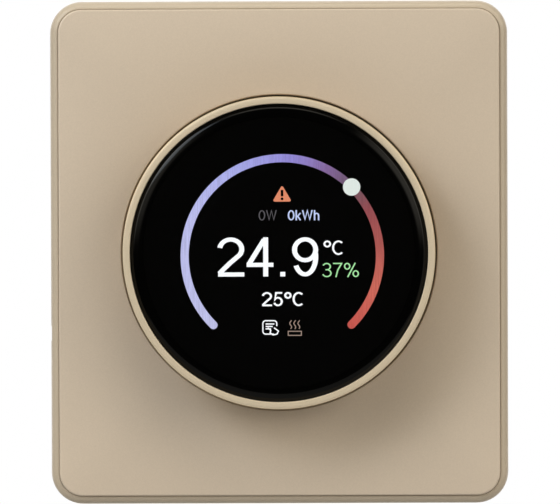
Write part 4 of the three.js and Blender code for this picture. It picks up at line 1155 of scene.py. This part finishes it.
def cell():
    """A coin cell in a steel clip, with a plus on the side that shows."""
    width, height, depth = Span("backup_cell").size
    r = height / 2 - 0.4
    bm = bmesh.new()
    profile = [(0, 0), (r - 0.5, 0), (r - 0.1, 0.15), (r, 0.5), (r, 1.9)]
    lathe(bm, profile + [(r - 0.4, 2), (r - 0.7, depth - 0.3), (0, depth - 0.3)], 64)
    for way in (-1, 1):
        brick(bm, way * (width / 2 - 1.6), 0, 3.2, 3.4, depth - 0.35, depth, 0.05, 0.3, 1)
        brick(bm, way * (r + 0.1), 0, 0.3, 3, 0.3, depth - 0.2, 0.05, 0.1, 1)
    brick(bm, 0, 0, 5, 3, 0, 0.25, 0.05, 0.3, 1)
    stroke(bm, [(-1, 0), (1, 0)], 0.15, -0.02, 0.05, 2)
    stroke(bm, [(0, -1), (0, 1)], 0.15, -0.02 - LAYER, 0.05, 2)
    on_board("backup_cell_coin", bm, [ZINC, STEEL, PRINT_BLACK], "front_unit", "zinc_steel", "backup_cell")


def buzzer():
    """A round case with a sound hole."""
    width, _, depth = Span("buzzer").size
    r, hole = width / 2, 0.9
    bm = bmesh.new()
    profile = [(hole, 0.4), (hole, 0.05), (hole + 0.3, 0), (r - 0.4, 0)]
    profile += [(r, 0.4), (r, depth), (0, depth), (0, 0.4)]
    lathe(bm, profile, 48)
    on_board("buzzer_case", bm, BLACK_PLASTIC, "front_unit", "black_plastic", "buzzer")


# ---------------- connectors

PIN_WIDTH, PIN_BACK, PIN_FRONT = 0.62, -3.58, 4.2
CLAMP_WIDTH, CLAMP_THICKNESS, CLAMP_BACK, CLAMP_FRONT = 3.5, 0.5, -22.9, -19.4
DIGIT_SIZE, DIGIT_X, DIGIT_Y = 1.8, 0.9, -15.9
# The terminal numbers 1 to 6, in a box 0.6 wide and 1 high
DIGITS = (
    [[(0.1, 0.8), (0.3, 1), (0.3, 0)]],
    [arc(0.3, 0.72, 0.26, 0.26, 170, -35, 10) + [(0.05, 0.02), (0.6, 0.02)]],
    [arc(0.3, 0.75, 0.24, 0.24, 160, -90, 10), arc(0.3, 0.26, 0.27, 0.26, 90, -160, 10)],
    [[(0.45, 0), (0.45, 1), (0.02, 0.3), (0.6, 0.3)]],
    [[(0.55, 0.98), (0.12, 0.98), (0.07, 0.52)] + arc(0.3, 0.32, 0.27, 0.3, 120, -160, 10)],
    [arc(0.3, 0.3, 0.26, 0.28, 0, 360, 14), arc(0.52, 0.3, 0.48, 0.68, 180, 100, 8)],
)


def header_pins():
    bm = bmesh.new()
    for x in row(HEADER_PINS, HEADER_PITCH):
        for y in row(2, HEADER_PITCH):
            brick(bm, x, HEADER_Y + y, PIN_WIDTH, PIN_WIDTH, PIN_BACK, PIN_FRONT, 0.12, 0.05)
    piece("header_pins", bm, GOLD, "front_unit", "zinc_steel")


def terminals():
    """The wire clamps of the terminals, and the numbers on the back of their block."""
    block = Span("terminal_block")
    clamps, ink = bmesh.new(), bmesh.new()
    for x, digit in zip(row(TERMINALS, TERMINAL_PITCH), DIGITS):
        clamp = (x, block.bottom + 2.9, CLAMP_WIDTH, CLAMP_THICKNESS, CLAMP_BACK, CLAMP_FRONT)
        brick(clamps, *clamp, 0.05, 0.1)
        for line in digit:
            placed = [(x + DIGIT_X - px * DIGIT_SIZE, DIGIT_Y + py * DIGIT_SIZE) for px, py in line]
            stroke(ink, placed, 0.14, block.back - 0.03, 0.05)
    piece("terminal_clamps", clamps, ZINC, "base", "zinc_steel")
    piece("terminal_numbers", ink, PRINT_WHITE, "base", "terminal_green")


def housing_marks():
    """Ejector rings and an up arrow moulded into the rear box."""
    back = Span("rear_housing").back
    bm = bmesh.new()
    for x in (-20, 20):
        for y in (-8, 20):
            lathe(bm, [(1.6, back), (1.9, back - 0.06), (2.2, back), (1.9, back + 0.1)], 32, x, y)
    arrow = [(0, 3.5), (-2.2, 0.6), (-0.8, 0.6), (-0.8, -3.5), (0.8, -3.5), (0.8, 0.6), (2.2, 0.6)]
    prism(bm, arrow, back - 0.25, back + 0.05, 0.05)
    piece("housing_marks", bm, GREY, "base", "grey_plastic")


# ---------------- stage

KEY_PLACE, KEY_SIZE, KEY_RADIANCE, KEY_COLOUR = (-0.30, -0.36, 0.30), 0.22, 6.8, (0.64, 0.71, 0.78)
LOW_BAND, HIGH_BAND = (0.12, 0.3, 0.55, 0.72), (0.6, 0.75, 0.88, 0.97)
# The soft lights around the front: each one's band, its angle in the view from the front and its strength
SOFT_LIGHTS = (
    (LOW_BAND, 0, 0.9), (LOW_BAND, 30, 3.7), (LOW_BAND, 90, 3.6), (LOW_BAND, 150, 4.7),
    (HIGH_BAND, 30, 1.9), (HIGH_BAND, 150, 1.0),
)
SECTOR = math.radians(30)
WARM_LIGHT, WHITE_LIGHT = (1, 0.94, 0.8, 1), (1, 1, 1, 1)
FLOOR_Z, FLOOR_HALF = -0.27, 0.55


def softbox(name, where, size, radiance, colour):
    """A square light with an even radiance, aimed at the thermostat."""
    data = bpy.data.lights.new(name, "AREA")
    data.shape = "SQUARE"
    data.size = size
    data.energy = radiance * math.pi * size**2
    data.color = colour
    made = bpy.data.objects.new(name, data)
    made.location = where
    made.rotation_euler = (-Vector(where)).to_track_quat("-Z", "Y").to_euler()
    bpy.context.collection.objects.link(made)


class Sky(Nodes):
    """The world's light, by its direction."""

    def __init__(self, world):
        world.use_nodes = True
        super().__init__(world.node_tree)
        self.tree.nodes.clear()
        where = self.node("ShaderNodeTexCoord").outputs["Generated"]
        self.x, self.y, self.z = self.node("ShaderNodeSeparateXYZ", where).outputs

    def step(self, value, start, end, low=0, high=1):
        return self.spread(value, start, end, low, high, "SMOOTHSTEP")

    def sum(self, first, second):
        return self.node("ShaderNodeMath", first, second, operation="ADD").outputs["Value"]

    def product(self, first, second):
        return self.node("ShaderNodeMath", first, second, operation="MULTIPLY").outputs["Value"]

    def band(self, start, full, fade, end):
        """1 for directions that lean forward from the wall by a share from full to fade."""
        return self.product(self.step(self.y, -start, -full), self.step(self.y, -end, -fade))

    def beside(self, angle):
        """1 towards an angle in degrees in the view from the front, and 0 a sector away from it."""
        flat = self.node("ShaderNodeCombineXYZ", self.x, 0, self.z).outputs["Vector"]
        unit = self.node("ShaderNodeVectorMath", flat, operation="NORMALIZE").outputs["Vector"]
        towards = (math.cos(math.radians(angle)), 0, math.sin(math.radians(angle)))
        dot = self.node("ShaderNodeVectorMath", unit, towards, operation="DOT_PRODUCT").outputs["Value"]
        return self.step(dot, math.cos(SECTOR), 1)

    def brightness(self):
        """An even light behind the wall, and the soft lights in front of it."""
        level = self.product(self.step(self.y, 0.35, 0.8, 0.02, 1.6), self.step(self.z, -0.9, 0.9, 0.5, 1.2))
        bands = {edges: self.band(*edges) for edges in (LOW_BAND, HIGH_BAND)}
        for edges, angle, strength in SOFT_LIGHTS:
            level = self.sum(level, self.product(self.product(bands[edges], self.beside(angle)), strength))
        return level

    def warmth(self):
        """Warm light in front of the wall, and white behind it."""
        made = self.node("ShaderNodeValToRGB", self.step(self.y, 0, 0.35))
        made.color_ramp.elements[0].color = WARM_LIGHT
        made.color_ramp.elements[1].color = WHITE_LIGHT
        return made.outputs["Color"]

    def finish(self):
        """The camera sees plain white, and everything else is lit by direction."""
        lighting = self.node("ShaderNodeBackground", self.warmth(), self.brightness()).outputs[0]
        seen = self.node("ShaderNodeBackground", WHITE_LIGHT).outputs[0]
        to_camera = self.node("ShaderNodeLightPath").outputs["Is Camera Ray"]
        pick = self.node("ShaderNodeMixShader", to_camera, lighting, seen).outputs[0]
        self.node("ShaderNodeOutputWorld", pick)


def stage():
    softbox("key", KEY_PLACE, KEY_SIZE, KEY_RADIANCE, KEY_COLOUR)
    world = bpy.data.worlds.new("studio")
    Sky(world).finish()
    bpy.context.scene.world = world
    bpy.context.scene.view_settings.view_transform = "Standard"


def paper():
    bm = bmesh.new()
    bmesh.ops.create_grid(bm, x_segments=1, y_segments=1, size=FLOOR_HALF)
    mesh = bpy.data.meshes.new("floor")
    bm.to_mesh(mesh)
    bm.free()
    floor = bpy.data.objects.new("floor", mesh)
    floor.location.z = FLOOR_Z
    bpy.context.collection.objects.link(floor)
    mesh.materials.append(Look("floor_paper", "#b6b6b6", 0.9, 0.0, 0.1).shade(30, 0.01).material)


CAMERA_DISTANCE, CAMERA_LENS = 0.505, 169.9
CAMERA_RISE, CAMERA_SWING, CAMERA_ROLL = math.radians(0.5), math.radians(0.3), math.radians(-0.19)
CAMERA_AIM = Vector((0.0001, 0, 0))


def camera():
    """A long lens in front of the plate, a touch above and to the right of its middle."""
    data = bpy.data.cameras.new("camera")
    data.lens = CAMERA_LENS
    made = bpy.data.objects.new("camera", data)
    level = math.cos(CAMERA_RISE)
    away = Vector((math.sin(CAMERA_SWING) * level, -math.cos(CAMERA_SWING) * level, math.sin(CAMERA_RISE)))
    made.location = CAMERA_AIM + away * CAMERA_DISTANCE
    look = (CAMERA_AIM - made.location).to_track_quat("-Z", "Y").to_matrix().to_4x4()
    made.rotation_euler = (look @ Matrix.Rotation(CAMERA_ROLL, 4, "Z")).to_euler()
    bpy.context.collection.objects.link(made)
    bpy.context.scene.camera = made


for build in (
    stage, paper, camera,
    surround, front_sheet, dial_ring, glass_cover, display_cell, graphics,
    dress_all, screws, springs, flex,
    main_board, main_board_traces, power_board,
    transformer, capacitor, varistor, radio, cell, buzzer,
    header_pins, terminals, housing_marks,
):
    build()
